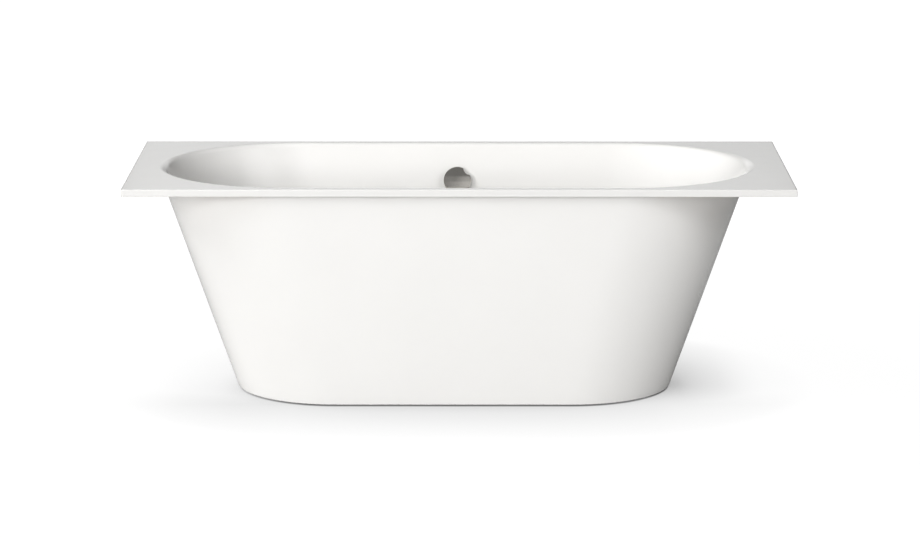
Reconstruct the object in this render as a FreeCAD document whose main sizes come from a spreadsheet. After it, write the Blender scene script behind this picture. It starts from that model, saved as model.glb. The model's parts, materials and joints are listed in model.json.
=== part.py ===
import FreeCAD, Part
import math
import os
import Sketcher
from FreeCAD import Vector as V, Placement, Rotation

# Built-in bathtub: a rectangular rolled flange, an oblong basin, a tapered
# oblong skirt and the waste and overflow set behind and below it.
# Millimetres. +X along the tub, +Y towards the wall, +Z up.
# The origin is on the floor under the middle of the flange.

doc = FreeCAD.newDocument("built_in_bathtub")
sheet = doc.addObject("Spreadsheet::Sheet", "Sizes")


# ------------------------------------------------------------------ sizes
class Quantity:
    """A number together with the expression that gives it from the sheet."""

    def __init__(self, value, text):
        self.v = float(value)
        self.t = text

    def __add__(self, other):
        other = qty(other)
        return Quantity(self.v + other.v, "(%s + %s)" % (self.t, other.t))

    def __radd__(self, other):
        return qty(other) + self

    def __sub__(self, other):
        other = qty(other)
        return Quantity(self.v - other.v, "(%s - %s)" % (self.t, other.t))

    def __rsub__(self, other):
        return qty(other) - self

    def __mul__(self, other):
        other = qty(other)
        return Quantity(self.v * other.v, "(%s * %s)" % (self.t, other.t))

    def __rmul__(self, other):
        return qty(other) * self

    def __truediv__(self, other):
        other = qty(other)
        return Quantity(self.v / other.v, "(%s / %s)" % (self.t, other.t))

    def __rtruediv__(self, other):
        return qty(other) / self

    def __neg__(self):
        return Quantity(-self.v, "(-1 * %s)" % self.t)

    @property
    def bound(self):
        return "Sizes." in self.t


def qty(x):
    return x if isinstance(x, Quantity) else Quantity(x, "(%.6f)" % float(x))


def root_of(x):
    return Quantity(math.sqrt(x.v), "sqrt(%s)" % x.t)


rows = []


def size(alias, value, note):
    rows.append(alias)
    n = len(rows)
    sheet.set("A%d" % n, alias)
    sheet.set("B%d" % n, "%.6f" % value)
    sheet.set("C%d" % n, note)
    sheet.setAlias("B%d" % n, alias)
    return Quantity(value, "Sizes." + alias)


# flange and basin
flange_len = size("flange_len", 1700, "flange, along X")
flange_wid = size("flange_wid", 750, "flange, along Y")
rim_height = size("rim_height", 586.5, "top of the flange above the floor")
lip_depth = size("lip_depth", 18, "height of the turned-down lip")
shell_thk = size("shell_thk", 5, "sheet thickness of the bath")
basin_x = size("basin_x", -6, "middle of the basin and of the waste")
basin_floor = size("basin_floor", 165, "inside floor of the basin")
half_top = size("basin_half_top", 763.5, "half length at the rim line")
rad_top = size("basin_rad_top", 339.663121, "half width at the rim line")
half_floor = size("basin_half_floor", 538, "half length at the floor line")
rad_floor = size("basin_rad_floor", 245, "half width at the floor line")
floor_round = size("floor_round", 90, "rounding between floor and wall")
rim_round_end = size("rim_round_end", 25, "rim rounding at the two ends")
rim_round_side = size("rim_round_side", 15, "rim rounding along the sides")
flange_round = size("flange_round", 3, "rounding of the upper edge of the lip")
# skirt
skirt_x = size("skirt_x", -14.5, "middle of the skirt")
skirt_gap = size("skirt_gap", 5, "shadow gap above the floor")
skirt_top = size("skirt_top", 573.5, "top edge of the skirt")
skirt_half_base = size("skirt_half_base", 570, "half length at the base")
skirt_rad_base = size("skirt_rad_base", 265, "half width at the base")
skirt_collar = size("skirt_collar", 530, "height where the ends flare out to the rim")
skirt_half_collar = size("skirt_half_collar", 753.77, "half length where the flare begins")
skirt_half_top = size("skirt_half_top", 777.5, "half length at the top edge")
skirt_rad_top = size("skirt_rad_top", 353.9, "half width at the top edge")
skirt_thk = size("skirt_thk", 4.5, "sheet thickness of the skirt")
slot_x = size("slot_x", 24, "middle of the rear service slot")
slot_wid = size("slot_wid", 152, "width of the rear service slot")
slot_top = size("slot_top", 548, "top of the rear service slot")
slot_round = size("slot_round", 36, "corner radius of the slot")
# under-frame
rim_board_thk = size("rim_board_thk", 14, "corner stiffener thickness")
board_thk = size("board_thk", 16, "base board thickness")
board_len = size("board_len", 820, "base board, along X")
board_wid = size("board_wid", 330, "base board, along Y")
rail_off = size("rail_off", 300, "rail distance from the middle of the basin")
rail_len = size("rail_len", 470, "rail length")
rail_wid = size("rail_wid", 40, "rail width")
rail_high = size("rail_high", 26, "rail height")
rail_thk = size("rail_thk", 2.5, "rail sheet thickness")
foot_off = size("foot_off", 190, "foot distance from the middle")
spindle_rad = size("spindle_rad", 6, "foot spindle radius")
spindle_end = size("spindle_end", 156, "top of the foot spindle")
pad_rad = size("pad_rad", 26, "foot pad radius")
pad_high = size("pad_high", 18, "foot pad height")
# waste
drain_rad = size("drain_rad", 26, "hole in the basin floor")
recess_rad = size("recess_rad", 40, "sunk seat round the hole")
recess_deep = size("recess_deep", 4, "depth of the sunk seat")
chamber_rad = size("chamber_rad", 28, "inside radius of the waste chamber")
pipe_rad = size("pipe_rad", 16, "overflow pipe radius")
pipe_bore = size("pipe_bore", 13.5, "overflow pipe bore radius")
run_z = size("run_z", 118, "height of the horizontal overflow run")
riser_y = size("riser_y", 340, "distance of the overflow riser")
lever_y = size("lever_y", 170, "distance of the lever pivot")
trap_rad = size("trap_rad", 20, "trap pipe radius")
trap_bore = size("trap_bore", 17.5, "trap pipe bore radius")
trap_bend_rad = size("trap_bend_rad", 36, "radius of the trap bend")
outlet_z = size("outlet_z", 116, "height of the outlet pipe")
# overflow
over_z = size("over_z", 487.5, "height of the overflow on the wall")
over_rad = size("over_rad", 27, "overflow hole radius")
knob_rad = size("knob_rad", 37, "knob radius")
knob_front = size("knob_front", 22, "knob face in front of the wall")
crank_rad = size("crank_rad", 9, "crank pin distance from the knob axis")
crank_deg = size("crank_deg", 135, "crank pin angle at rest")
doc.recompute()

# wall slopes of the basin, as run over rise
rise = rim_height - basin_floor
end_slope = (half_top - half_floor) / rise
side_slope = (rad_top - rad_floor) / rise
end_wall = shell_thk * root_of(1 + end_slope * end_slope)
side_wall = shell_thk * root_of(1 + side_slope * side_slope)
side_cos = 1 / root_of(1 + side_slope * side_slope)
side_sin = side_slope * side_cos
side_lean = "atan(%s)" % side_slope.t
side_lean_deg = math.degrees(math.atan(side_slope.v))
over_y = rad_floor + side_slope * (over_z - basin_floor)


# ---------------------------------------------------------------- helpers
def bind(obj, prop, value):
    value = qty(value)
    if value.bound:
        obj.setExpression(prop, value.t)
    else:
        setattr(obj, prop, value.v)


def place(obj, x=0, y=0, z=0, rot=None):
    x, y, z = qty(x), qty(y), qty(z)
    obj.Placement = Placement(V(x.v, y.v, z.v), rot or Rotation())
    for axis, value in (("x", x), ("y", y), ("z", z)):
        if value.bound:
            obj.setExpression("Placement.Base." + axis, value.t)
    return obj


ALONG_X = Rotation(V(0, 1, 0), 90)
ALONG_Y = Rotation(V(1, 0, 0), -90)


def over(obj, x=0, y=0, w=0):
    """Place in the frame of the overflow: x along the tub, y up the wall,
    w out of the wall into the basin."""
    x, y, w = qty(x), qty(y), qty(w)
    place(obj, basin_x + x, over_y + side_sin * y - side_cos * w,
          over_z + side_cos * y + side_sin * w,
          Rotation(V(1, 0, 0), 90 - side_lean_deg))
    obj.setExpression("Placement.Rotation.Angle", "90 deg - " + side_lean)
    return obj


def cylinder(name, r, h, x=0, y=0, z=0, rot=None):
    o = doc.addObject("Part::Cylinder", name)
    bind(o, "Radius", r)
    bind(o, "Height", h)
    return place(o, x, y, z, rot)


def block(name, lx, ly, lz, x=0, y=0, z=0, rot=None):
    o = doc.addObject("Part::Box", name)
    bind(o, "Length", lx)
    bind(o, "Width", ly)
    bind(o, "Height", lz)
    return place(o, x, y, z, rot)


def prism(name, sides, r, h, x=0, y=0, z=0, rot=None):
    o = doc.addObject("Part::Prism", name)
    o.Polygon = sides
    bind(o, "Circumradius", r)
    bind(o, "Height", h)
    return place(o, x, y, z, rot)


def fuse(name, *shapes):
    o = doc.addObject("Part::MultiFuse", name)
    o.Shapes = list(shapes)
    o.Refine = True
    return o


def cut(name, base, *tools):
    tool = tools[0] if len(tools) == 1 else fuse(name + "_tools", *tools)
    o = doc.addObject("Part::Cut", name)
    o.Base = base
    o.Tool = tool
    o.Refine = True
    return o


def group(name, *shapes):
    o = doc.addObject("Part::Compound", name)
    o.Links = list(shapes)
    return o


def plane_of(body, role):
    return [f for f in body.Origin.OriginFeatures if f.Role == role][0]


def sketch_on(body, name, role, offset=0):
    sk = body.newObject("Sketcher::SketchObject", name)
    sk.AttachmentSupport = [(plane_of(body, role), "")]
    sk.MapMode = "FlatFace"
    offset = qty(offset)
    sk.AttachmentOffset = Placement(V(0, 0, offset.v), Rotation())
    if offset.bound:
        sk.setExpression("AttachmentOffset.Base.z", offset.t)
    return sk


def fix_point(sk, geo, pos, x, y):
    """Hold one sketch point at (x, y), each bound to the sheet."""
    for kind, value, axis in (("DistanceX", qty(x), -2), ("DistanceY", qty(y), -1)):
        if abs(value.v) < 1e-9:
            sk.addConstraint(Sketcher.Constraint("PointOnObject", geo, pos, axis))
            continue
        if value.v > 0:
            c = Sketcher.Constraint(kind, -1, 1, geo, pos, value.v)
        else:
            c = Sketcher.Constraint(kind, geo, pos, -1, 1, -value.v)
        n = sk.addConstraint(c)
        if value.bound:
            label = "%s_%d_%d" % ("px" if kind == "DistanceX" else "py", geo, pos)
            sk.renameConstraint(n, label)
            sk.setExpression("Constraints." + label,
                             value.t if value.v > 0 else "-1 * " + value.t)


def polygon(sk, pts):
    pts = [(qty(a), qty(b)) for a, b in pts]
    first = len(sk.Geometry)
    n = len(pts)
    sk.addGeometry([Part.LineSegment(V(pts[i][0].v, pts[i][1].v, 0),
                                     V(pts[(i + 1) % n][0].v, pts[(i + 1) % n][1].v, 0))
                    for i in range(n)], False)
    for i in range(n):
        sk.addConstraint(Sketcher.Constraint("Coincident", first + i, 2,
                                             first + (i + 1) % n, 1))
    for i in range(n):
        fix_point(sk, first + i, 1, pts[i][0], pts[i][1])


def circle(sk, x, y, r):
    x, y, r = qty(x), qty(y), qty(r)
    g = sk.addGeometry(Part.Circle(V(x.v, y.v, 0), V(0, 0, 1), r.v), False)
    if abs(x.v) < 1e-9 and abs(y.v) < 1e-9:
        sk.addConstraint(Sketcher.Constraint("Coincident", g, 3, -1, 1))
    else:
        fix_point(sk, g, 3, x, y)
    n = sk.addConstraint(Sketcher.Constraint("Radius", g, r.v))
    if r.bound:
        label = "pr_%d" % g
        sk.renameConstraint(n, label)
        sk.setExpression("Constraints." + label, r.t)
    return g


def new_body(name):
    return doc.addObject("PartDesign::Body", name)


def turned(name, pts):
    """A body turned about its own Z axis from a closed (radius, height) outline."""
    body = new_body(name)
    sk = sketch_on(body, name + "_outline", "XZ_Plane")
    polygon(sk, pts)
    rev = body.newObject("PartDesign::Revolution", name + "_turn")
    rev.Profile = sk
    rev.ReferenceAxis = (sk, ["V_Axis"])
    rev.Angle = 360
    body.Tip = rev
    return body


def ring(name, r_in, r_out, z0, z1):
    return turned(name, [(r_in, z0), (r_out, z0), (r_out, z1), (r_in, z1)])


def pad_on(body, name, sk, length, midplane=False, reverse=False):
    pad = body.newObject("PartDesign::Pad", name)
    pad.Profile = sk
    bind(pad, "Length", length)
    pad.Midplane = midplane
    pad.Reversed = reverse
    body.Tip = pad
    return pad


def pocket_on(body, name, sk, length, midplane=False, reverse=False):
    poc = body.newObject("PartDesign::Pocket", name)
    poc.Profile = sk
    poc.Type = 0
    bind(poc, "Length", length)
    poc.Midplane = midplane
    poc.Reversed = reverse
    body.Tip = poc
    return poc


def oblong(sk, half, rad):
    """Two straight sides and two round ends, each end in two quarter arcs."""
    half, rad = qty(half), qty(rad)
    a, r = half.v - rad.v, rad.v
    n = V(0, 0, 1)
    q = math.pi / 2
    sk.addGeometry([
        Part.LineSegment(V(-a, -r, 0), V(a, -r, 0)),
        Part.ArcOfCircle(Part.Circle(V(a, 0, 0), n, r), -q, 0),
        Part.ArcOfCircle(Part.Circle(V(a, 0, 0), n, r), 0, q),
        Part.LineSegment(V(a, r, 0), V(-a, r, 0)),
        Part.ArcOfCircle(Part.Circle(V(-a, 0, 0), n, r), q, 2 * q),
        Part.ArcOfCircle(Part.Circle(V(-a, 0, 0), n, r), 2 * q, 3 * q)], False)
    c = Sketcher.Constraint
    sk.addConstraint([
        c("Tangent", 0, 2, 1, 1), c("Coincident", 1, 2, 2, 1), c("Coincident", 1, 3, 2, 3),
        c("Tangent", 2, 2, 3, 1), c("Tangent", 3, 2, 4, 1), c("Coincident", 4, 2, 5, 1),
        c("Coincident", 4, 3, 5, 3), c("Tangent", 5, 2, 0, 1), c("Horizontal", 0),
        c("PointOnObject", 1, 3, -1), c("PointOnObject", 4, 3, -1),
        c("PointOnObject", 1, 2, -1), c("PointOnObject", 4, 2, -1)])
    for label, con, expr in (
            ("end_radius", c("Radius", 1, r), rad),
            ("right_centre", c("DistanceX", -1, 1, 1, 3, a), half - rad),
            ("left_centre", c("DistanceX", 4, 3, -1, 1, a), half - rad)):
        k = sk.addConstraint(con)
        sk.renameConstraint(k, label)
        if expr.bound:
            sk.setExpression("Constraints." + label, expr.t)


def oblong_sketch(name, half, rad, x, z):
    sk = doc.addObject("Sketcher::SketchObject", name)
    place(sk, x, 0, z)
    oblong(sk, half, rad)
    return sk


def oblong_solid(name, x, low, high):
    """A solid between two oblongs, each (half length, radius, height)."""
    o = doc.addObject("Part::Loft", name)
    o.Sections = [oblong_sketch(name + "_low", low[0], low[1], x, low[2]),
                  oblong_sketch(name + "_high", high[0], high[1], x, high[2])]
    o.Solid = True
    o.Ruled = True
    return o


def rounded(name, base, pick):
    """Round the edges that pick() gives a pair of radii for."""
    doc.recompute()
    o = doc.addObject("Part::Fillet", name)
    o.Base = base
    edges = []
    for i, e in enumerate(base.Shape.Edges, 1):
        r = pick(e)
        if r:
            edges.append((i, float(r[0]), float(r[1])))
    if not edges:
        raise RuntimeError(name + ": no edge to round")
    o.Edges = edges
    return o


def flat_at(e, z):
    b = e.BoundBox
    return abs(b.ZMin - z) < 1e-4 and abs(b.ZMax - z) < 1e-4


def pipe_body(name, role, offset, draw, r_out, r_in):
    """A tube along a path of straight runs and tangent arcs in one plane."""
    body = new_body(name)
    path = sketch_on(body, name + "_path", role, offset)
    edges = draw(path)
    doc.recompute()
    prof = body.newObject("Sketcher::SketchObject", name + "_section")
    prof.AttachmentSupport = [(path, "Edge1")]
    prof.MapMode = "NormalToEdge"
    prof.MapPathParameter = 0.0
    circle(prof, 0, 0, r_out)
    circle(prof, 0, 0, r_in)
    doc.recompute()
    sweep = body.newObject("PartDesign::AdditivePipe", name + "_tube")
    sweep.Profile = prof
    sweep.Spine = (path, ["Edge%d" % (i + 1) for i in range(edges)])
    body.Tip = sweep
    return body


nodes = []


def sub_part(label, obj):
    obj.Label = label
    nodes.append((label, obj))
    return obj


# ------------------------------------------------- bath shell with its rim
flange_block = block("flange_block", flange_len, flange_wid, lip_depth,
                     -0.5 * flange_len, -0.5 * flange_wid, rim_height - lip_depth)
flange_hollow = block("flange_hollow", flange_len - 2 * shell_thk,
                      flange_wid - 2 * shell_thk, lip_depth - shell_thk,
                      -0.5 * flange_len + shell_thk, -0.5 * flange_wid + shell_thk,
                      rim_height - lip_depth)
flange = cut("flange", flange_block, flange_hollow)

# the outer face of the basin wall is the inner one moved out by the sheet
basin_out = oblong_solid(
    "basin_out", basin_x,
    (half_floor + end_wall - end_slope * shell_thk,
     rad_floor + side_wall - side_slope * shell_thk, basin_floor - shell_thk),
    (half_top + end_wall - end_slope * shell_thk,
     rad_top + side_wall - side_slope * shell_thk, rim_height - shell_thk))
under_r = floor_round.v + shell_thk.v
basin_out_round = rounded(
    "basin_out_round", basin_out,
    lambda e: (under_r, under_r) if flat_at(e, basin_floor.v - shell_thk.v) else None)

basin_in = oblong_solid("basin_in", basin_x, (half_floor, rad_floor, basin_floor),
                        (half_top, rad_top, rim_height))
basin_in_round = rounded(
    "basin_in_round", basin_in,
    lambda e: (floor_round.v, floor_round.v) if flat_at(e, basin_floor.v) else None)

shell_raw = cut("shell_raw", fuse("shell_outer", flange, basin_out_round), basin_in_round)


def rim_edge(e, z, shrink):
    b = e.BoundBox
    if not flat_at(e, z) or b.YMax > 365 or b.YMin < -365:
        return None
    if b.YLength < 1:
        return (rim_round_side.v - shrink, rim_round_side.v - shrink)
    rads = []
    for p in (e.valueAt(e.FirstParameter), e.valueAt(e.LastParameter)):
        rads.append((rim_round_end.v if abs(p.y) < 1 else rim_round_side.v) - shrink)
    return rads


def lip_edge(e):
    b = e.BoundBox
    along_x = b.YLength < 1e-4 and abs(abs(b.YMin) - 0.5 * flange_wid.v) < 1e-3
    along_y = b.XLength < 1e-4 and abs(abs(b.XMin) - 0.5 * flange_len.v) < 1e-3
    if flat_at(e, rim_height.v) and (along_x or along_y):
        return (flange_round.v, flange_round.v)
    return None


# rolled rim: wide at the ends, tighter along the sides, above and below
shell_rim = rounded(
    "shell_rim", shell_raw,
    lambda e: rim_edge(e, rim_height.v, 0.0)
    or rim_edge(e, rim_height.v - shell_thk.v, shell_thk.v)
    or lip_edge(e))

seat_z = basin_floor - recess_deep
drain_boss = cylinder("drain_boss", recess_rad + 6, recess_deep, basin_x, 0,
                      seat_z - shell_thk)
drain_seat = cylinder("drain_seat", recess_rad, recess_deep + 1, basin_x, 0, seat_z)
drain_hole = cylinder("drain_hole", drain_rad, 40, basin_x, 0, seat_z - 20)
over_hole = over(cylinder("over_hole", over_rad, 40), 0, 0, -20)
shell = cut("shell", fuse("shell_bossed", shell_rim, drain_boss),
            drain_seat, drain_hole, over_hole)
sub_part("bath_shell", shell)

# --------------------------------------------------------------- the skirt
skirt_rise = skirt_top - skirt_gap
skirt_end_slope = (skirt_half_collar - skirt_half_base) / (skirt_collar - skirt_gap)
collar_slope = (skirt_half_top - skirt_half_collar) / (skirt_top - skirt_collar)
skirt_side_slope = (skirt_rad_top - skirt_rad_base) / skirt_rise
skirt_end_wall = skirt_thk * root_of(1 + skirt_end_slope * skirt_end_slope)
skirt_side_wall = skirt_thk * root_of(1 + skirt_side_slope * skirt_side_slope)
collar_wall = skirt_thk * root_of(1 + collar_slope * collar_slope)
skirt_rad_collar = skirt_rad_base + skirt_side_slope * (skirt_collar - skirt_gap)

skirt = new_body("skirt_body")
place(skirt, skirt_x, 0, 0)
sk_low = sketch_on(skirt, "skirt_low", "XY_Plane", skirt_gap)
oblong(sk_low, skirt_half_base, skirt_rad_base)
sk_mid = sketch_on(skirt, "skirt_mid", "XY_Plane", skirt_collar)
oblong(sk_mid, skirt_half_collar, skirt_rad_collar)
sk_high = sketch_on(skirt, "skirt_high", "XY_Plane", skirt_top)
oblong(sk_high, skirt_half_top, skirt_rad_top)
skirt_out = skirt.newObject("PartDesign::AdditiveLoft", "skirt_out")
skirt_out.Profile = sk_low
skirt_out.Sections = [sk_mid, sk_high]
skirt_out.Ruled = True
skirt.Tip = skirt_out
doc.recompute()
sk_low_in = sketch_on(skirt, "skirt_low_in", "XY_Plane", skirt_gap)
oblong(sk_low_in, skirt_half_base - skirt_end_wall, skirt_rad_base - skirt_side_wall)
sk_mid_in = sketch_on(skirt, "skirt_mid_in", "XY_Plane", skirt_collar)
oblong(sk_mid_in, skirt_half_collar - skirt_end_wall, skirt_rad_collar - skirt_side_wall)
sk_high_in = sketch_on(skirt, "skirt_high_in", "XY_Plane", skirt_top)
oblong(sk_high_in, skirt_half_top - collar_wall, skirt_rad_top - skirt_side_wall)
skirt_in = skirt.newObject("PartDesign::SubtractiveLoft", "skirt_in")
skirt_in.Profile = sk_low_in
skirt_in.Sections = [sk_mid_in, sk_high_in]
skirt_in.Ruled = True
skirt.Tip = skirt_in
doc.recompute()
before_slot = skirt.Shape.Volume

# service slot on the wall side, arched at the top, open at the floor
sk_slot = sketch_on(skirt, "skirt_slot", "XZ_Plane")
sl, sr = slot_x - skirt_x - 0.5 * slot_wid, slot_x - skirt_x + 0.5 * slot_wid
sz0, sz1, sq = -10.0, slot_top, slot_round
sk_slot.addGeometry([
    Part.LineSegment(V(sl.v, sz0, 0), V(sr.v, sz0, 0)),
    Part.LineSegment(V(sr.v, sz0, 0), V(sr.v, sz1.v - sq.v, 0)),
    Part.ArcOfCircle(Part.Circle(V(sr.v - sq.v, sz1.v - sq.v, 0), V(0, 0, 1), sq.v), 0, math.pi / 2),
    Part.LineSegment(V(sr.v - sq.v, sz1.v, 0), V(sl.v + sq.v, sz1.v, 0)),
    Part.ArcOfCircle(Part.Circle(V(sl.v + sq.v, sz1.v - sq.v, 0), V(0, 0, 1), sq.v), math.pi / 2, math.pi),
    Part.LineSegment(V(sl.v, sz1.v - sq.v, 0), V(sl.v, sz0, 0))], False)
cc = Sketcher.Constraint
sk_slot.addConstraint([
    cc("Coincident", 0, 2, 1, 1), cc("Tangent", 1, 2, 2, 1), cc("Tangent", 2, 2, 3, 1),
    cc("Tangent", 3, 2, 4, 1), cc("Tangent", 4, 2, 5, 1), cc("Coincident", 5, 2, 0, 1),
    cc("Vertical", 1), cc("Vertical", 5), cc("Equal", 2, 4)])
k = sk_slot.addConstraint(cc("Radius", 2, sq.v))
sk_slot.renameConstraint(k, "corner")
sk_slot.setExpression("Constraints.corner", sq.t)
fix_point(sk_slot, 0, 1, sl, sz0)
fix_point(sk_slot, 0, 2, sr, sz0)
k = sk_slot.addConstraint(cc("DistanceY", -1, 1, 3, 1, sz1.v))
sk_slot.renameConstraint(k, "slot_height")
sk_slot.setExpression("Constraints.slot_height", sz1.t)
skirt_slot = pocket_on(skirt, "skirt_slot_cut", sk_slot, 400)
doc.recompute()
if skirt.Shape.Solids[0].CenterOfMass.y > -0.5:
    skirt_slot.Reversed = True
    doc.recompute()
if not (skirt.Shape.Volume < before_slot - 1e5
        and skirt.Shape.Solids[0].CenterOfMass.y < -0.5 and len(skirt.Shape.Solids) == 1):
    raise RuntimeError("the service slot did not cut the wall side")
sub_part("outer_skirt", skirt)

# adhesive bead between the top edge of the skirt and the underside of the rim
bead_top = rim_height - shell_thk
bead_rise = bead_top - skirt_top
bead_out = oblong_solid(
    "bead_out", skirt_x, (skirt_half_top, skirt_rad_top, skirt_top),
    (skirt_half_top + collar_slope * bead_rise,
     skirt_rad_top + skirt_side_slope * bead_rise, bead_top))
bead_in = oblong_solid(
    "bead_in", skirt_x,
    (skirt_half_top - collar_wall, skirt_rad_top - skirt_side_wall, skirt_top),
    (skirt_half_top + collar_slope * bead_rise - collar_wall,
     skirt_rad_top + skirt_side_slope * bead_rise - skirt_side_wall, bead_top))
bead = cut("bead", cut("bead_ring", bead_out, bead_in), shell)
sub_part("skirt_bond_bead", bead)

# corner stiffeners glued under the flange, between lip and skirt
room = oblong_solid(
    "skirt_room", skirt_x,
    (skirt_half_top - 10 * collar_slope + 12, skirt_rad_top - 10 * skirt_side_slope + 5, skirt_top - 10),
    (skirt_half_top + 12 * collar_slope + 12, skirt_rad_top + 12 * skirt_side_slope + 5, skirt_top + 12))
rb_len = size("rim_board_len", 350, "corner stiffener, along X")
rb_wid = size("rim_board_wid", 330, "corner stiffener, along Y")
doc.recompute()
lip_in_x = 0.5 * flange_len - shell_thk - 0.5
lip_in_y = 0.5 * flange_wid - shell_thk - 0.5
for label, sx, sy in (("rim_board_front_left", -1, -1), ("rim_board_front_right", 1, -1),
                      ("rim_board_rear_left", -1, 1), ("rim_board_rear_right", 1, 1)):
    bx0 = -lip_in_x if sx < 0 else lip_in_x - rb_len
    by0 = -lip_in_y if sy < 0 else lip_in_y - rb_wid
    slab = block(label + "_slab", rb_len, rb_wid, rim_board_thk, bx0, by0,
                 rim_height - shell_thk - rim_board_thk)
    sub_part(label, cut(label + "_cut", slab, room))

# ------------------------------------------------------------- under-frame
board_z = basin_floor - shell_thk - board_thk
web_z = board_z - rail_thk
rail_z = board_z - rail_high
rail_x = {"left": basin_x - rail_off, "right": basin_x + rail_off}
screw_off = size("rail_screw_off", 120, "rail screw distance from the middle")
screw_rad = size("rail_screw_rad", 2.25, "rail screw radius")
bolt_off = size("bracket_bolt_off", 222, "bracket bolt distance from the middle")
bolt_rad = size("bracket_bolt_rad", 3, "bracket bolt radius")
doc.recompute()

holes = [cylinder("board_drain", 62, board_thk + 2, basin_x, 0, board_z - 1)]
for side in ("left", "right"):
    for tag, sy in (("front", -1), ("rear", 1)):
        holes.append(cylinder("board_pilot_%s_%s" % (side, tag), screw_rad, board_thk - 4,
                              rail_x[side], sy * screw_off, board_z))
board_blank = block("board_blank", board_len, board_wid, board_thk,
                    basin_x - 0.5 * board_len, -0.5 * board_wid, board_z)
sub_part("base_board", cut("board", board_blank, *holes))

for side in ("left", "right"):
    rail = new_body("rail_" + side)
    place(rail, rail_x[side], 0, rail_z)
    sk = sketch_on(rail, "rail_%s_section" % side, "XZ_Plane")
    hw = 0.5 * rail_wid
    polygon(sk, [(-hw, 0), (-hw, rail_high), (hw, rail_high), (hw, 0),
                 (hw - rail_thk, 0), (hw - rail_thk, rail_high - rail_thk),
                 (rail_thk - hw, rail_high - rail_thk), (rail_thk - hw, 0)])
    pad_on(rail, "rail_%s_pad" % side, sk, rail_len, midplane=True)
    doc.recompute()
    full = rail.Shape.Volume
    hs = sketch_on(rail, "rail_%s_holes" % side, "XY_Plane")
    for sy in (-1, 1):
        circle(hs, 0, sy * foot_off, spindle_rad + 1)
        circle(hs, 0, sy * screw_off, screw_rad)
        circle(hs, 0, sy * bolt_off, bolt_rad)
    poc = pocket_on(rail, "rail_%s_drill" % side, hs, rail_high + 5, reverse=True)
    doc.recompute()
    if rail.Shape.Volume > full - 100:
        raise RuntimeError("rail holes did not cut")
    sub_part("cross_rail_" + side, rail)

screws, weld_nuts, lock_nuts, bolts, brackets = [], [], [], [], []
skirt_in_y = skirt_rad_base - skirt_side_wall + skirt_side_slope * (web_z - skirt_gap)
for side in ("left", "right"):
    for tag, sy in (("front", -1), ("rear", 1)):
        key = "%s_%s" % (side, tag)
        rx = rail_x[side]
        screws.append(fuse(
            "rail_screw_" + key,
            cylinder("rail_screw_shank_" + key, screw_rad, board_thk - 4 + rail_thk,
                     rx, sy * screw_off, web_z),
            cylinder("rail_screw_head_" + key, 2 * screw_rad, 2.4, rx, sy * screw_off, web_z - 2.4)))
        weld_nuts.append(cut(
            "weld_nut_" + key,
            prism("weld_nut_hex_" + key, 6, 11, 10, rx, sy * foot_off, web_z - 10),
            cylinder("weld_nut_bore_" + key, spindle_rad + 0.06, 12, rx, sy * foot_off, web_z - 11)))
        lock_nuts.append(cut(
            "lock_nut_" + key,
            prism("lock_nut_hex_" + key, 6, 11, 6, rx, sy * foot_off, web_z - 16.2),
            cylinder("lock_nut_bore_" + key, spindle_rad + 0.06, 8, rx, sy * foot_off, web_z - 17)))
        # angle bracket from the rail end to the inner face of the skirt
        br = new_body("bracket_" + key)
        place(br, rx, 0, 0, Rotation(V(0, 0, 1), 180 if sy < 0 else 0))
        sk = sketch_on(br, "bracket_%s_section" % key, "YZ_Plane")
        top = 62.0
        foot = skirt_in_y - 0.6
        polygon(sk, [(bolt_off - 14, web_z - 2.5), (foot - skirt_side_slope * 2.5, web_z - 2.5),
                     (foot + skirt_side_slope * top, web_z + top),
                     (foot + skirt_side_slope * top - 2.5, web_z + top),
                     (foot - 2.5, web_z), (bolt_off - 14, web_z)])
        pad_on(br, "bracket_%s_pad" % key, sk, 30, midplane=True)
        hs = sketch_on(br, "bracket_%s_hole" % key, "XY_Plane", web_z - 10)
        circle(hs, 0, bolt_off, bolt_rad)
        doc.recompute()
        full = br.Shape.Volume
        poc = pocket_on(br, "bracket_%s_drill" % key, hs, 20, reverse=True)
        doc.recompute()
        if br.Shape.Volume > full - 20:
            raise RuntimeError("bracket hole did not cut")
        brackets.append(br)
        bolts.append(fuse(
            "bolt_" + key,
            cylinder("bolt_shank_" + key, bolt_rad, 16, rx, sy * bolt_off, web_z - 4.5),
            cylinder("bolt_head_" + key, 2 * bolt_rad, 3, rx, sy * bolt_off, web_z - 5.5),
            prism("bolt_nut_" + key, 6, 5.8, 5, rx, sy * bolt_off, board_z)))
sub_part("rail_screws", group("rail_screw_set", *screws))
sub_part("foot_weld_nuts", group("weld_nut_set", *weld_nuts))
sub_part("foot_lock_nuts", group("lock_nut_set", *lock_nuts))
sub_part("skirt_brackets", group("bracket_set", *brackets))
sub_part("bracket_bolts", group("bolt_set", *bolts))

# four levelling feet: a turning spindle in a round pad
for side in ("left", "right"):
    for tag, sy in (("front", -1), ("rear", 1)):
        key = "%s_%s" % (tag, side)
        fx, fy = rail_x[side], sy * foot_off
        pad = turned("pad_" + key, [
            (0, 0), (pad_rad - 2, 0), (pad_rad, 2), (pad_rad, 8), (14, 13),
            (10, pad_high), (spindle_rad + 0.06, pad_high), (spindle_rad + 0.06, 6), (0, 6)])
        place(pad, fx, fy, 0)
        sub_part("foot_pad_" + key, pad)
        sub_part("foot_spindle_" + key, fuse(
            "spindle_" + key,
            cylinder("spindle_rod_" + key, spindle_rad, spindle_end - 6.3, fx, fy, 6.3),
            prism("spindle_hex_" + key, 6, 9.8, 7, fx, fy, pad_high + 0.3)))

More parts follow.
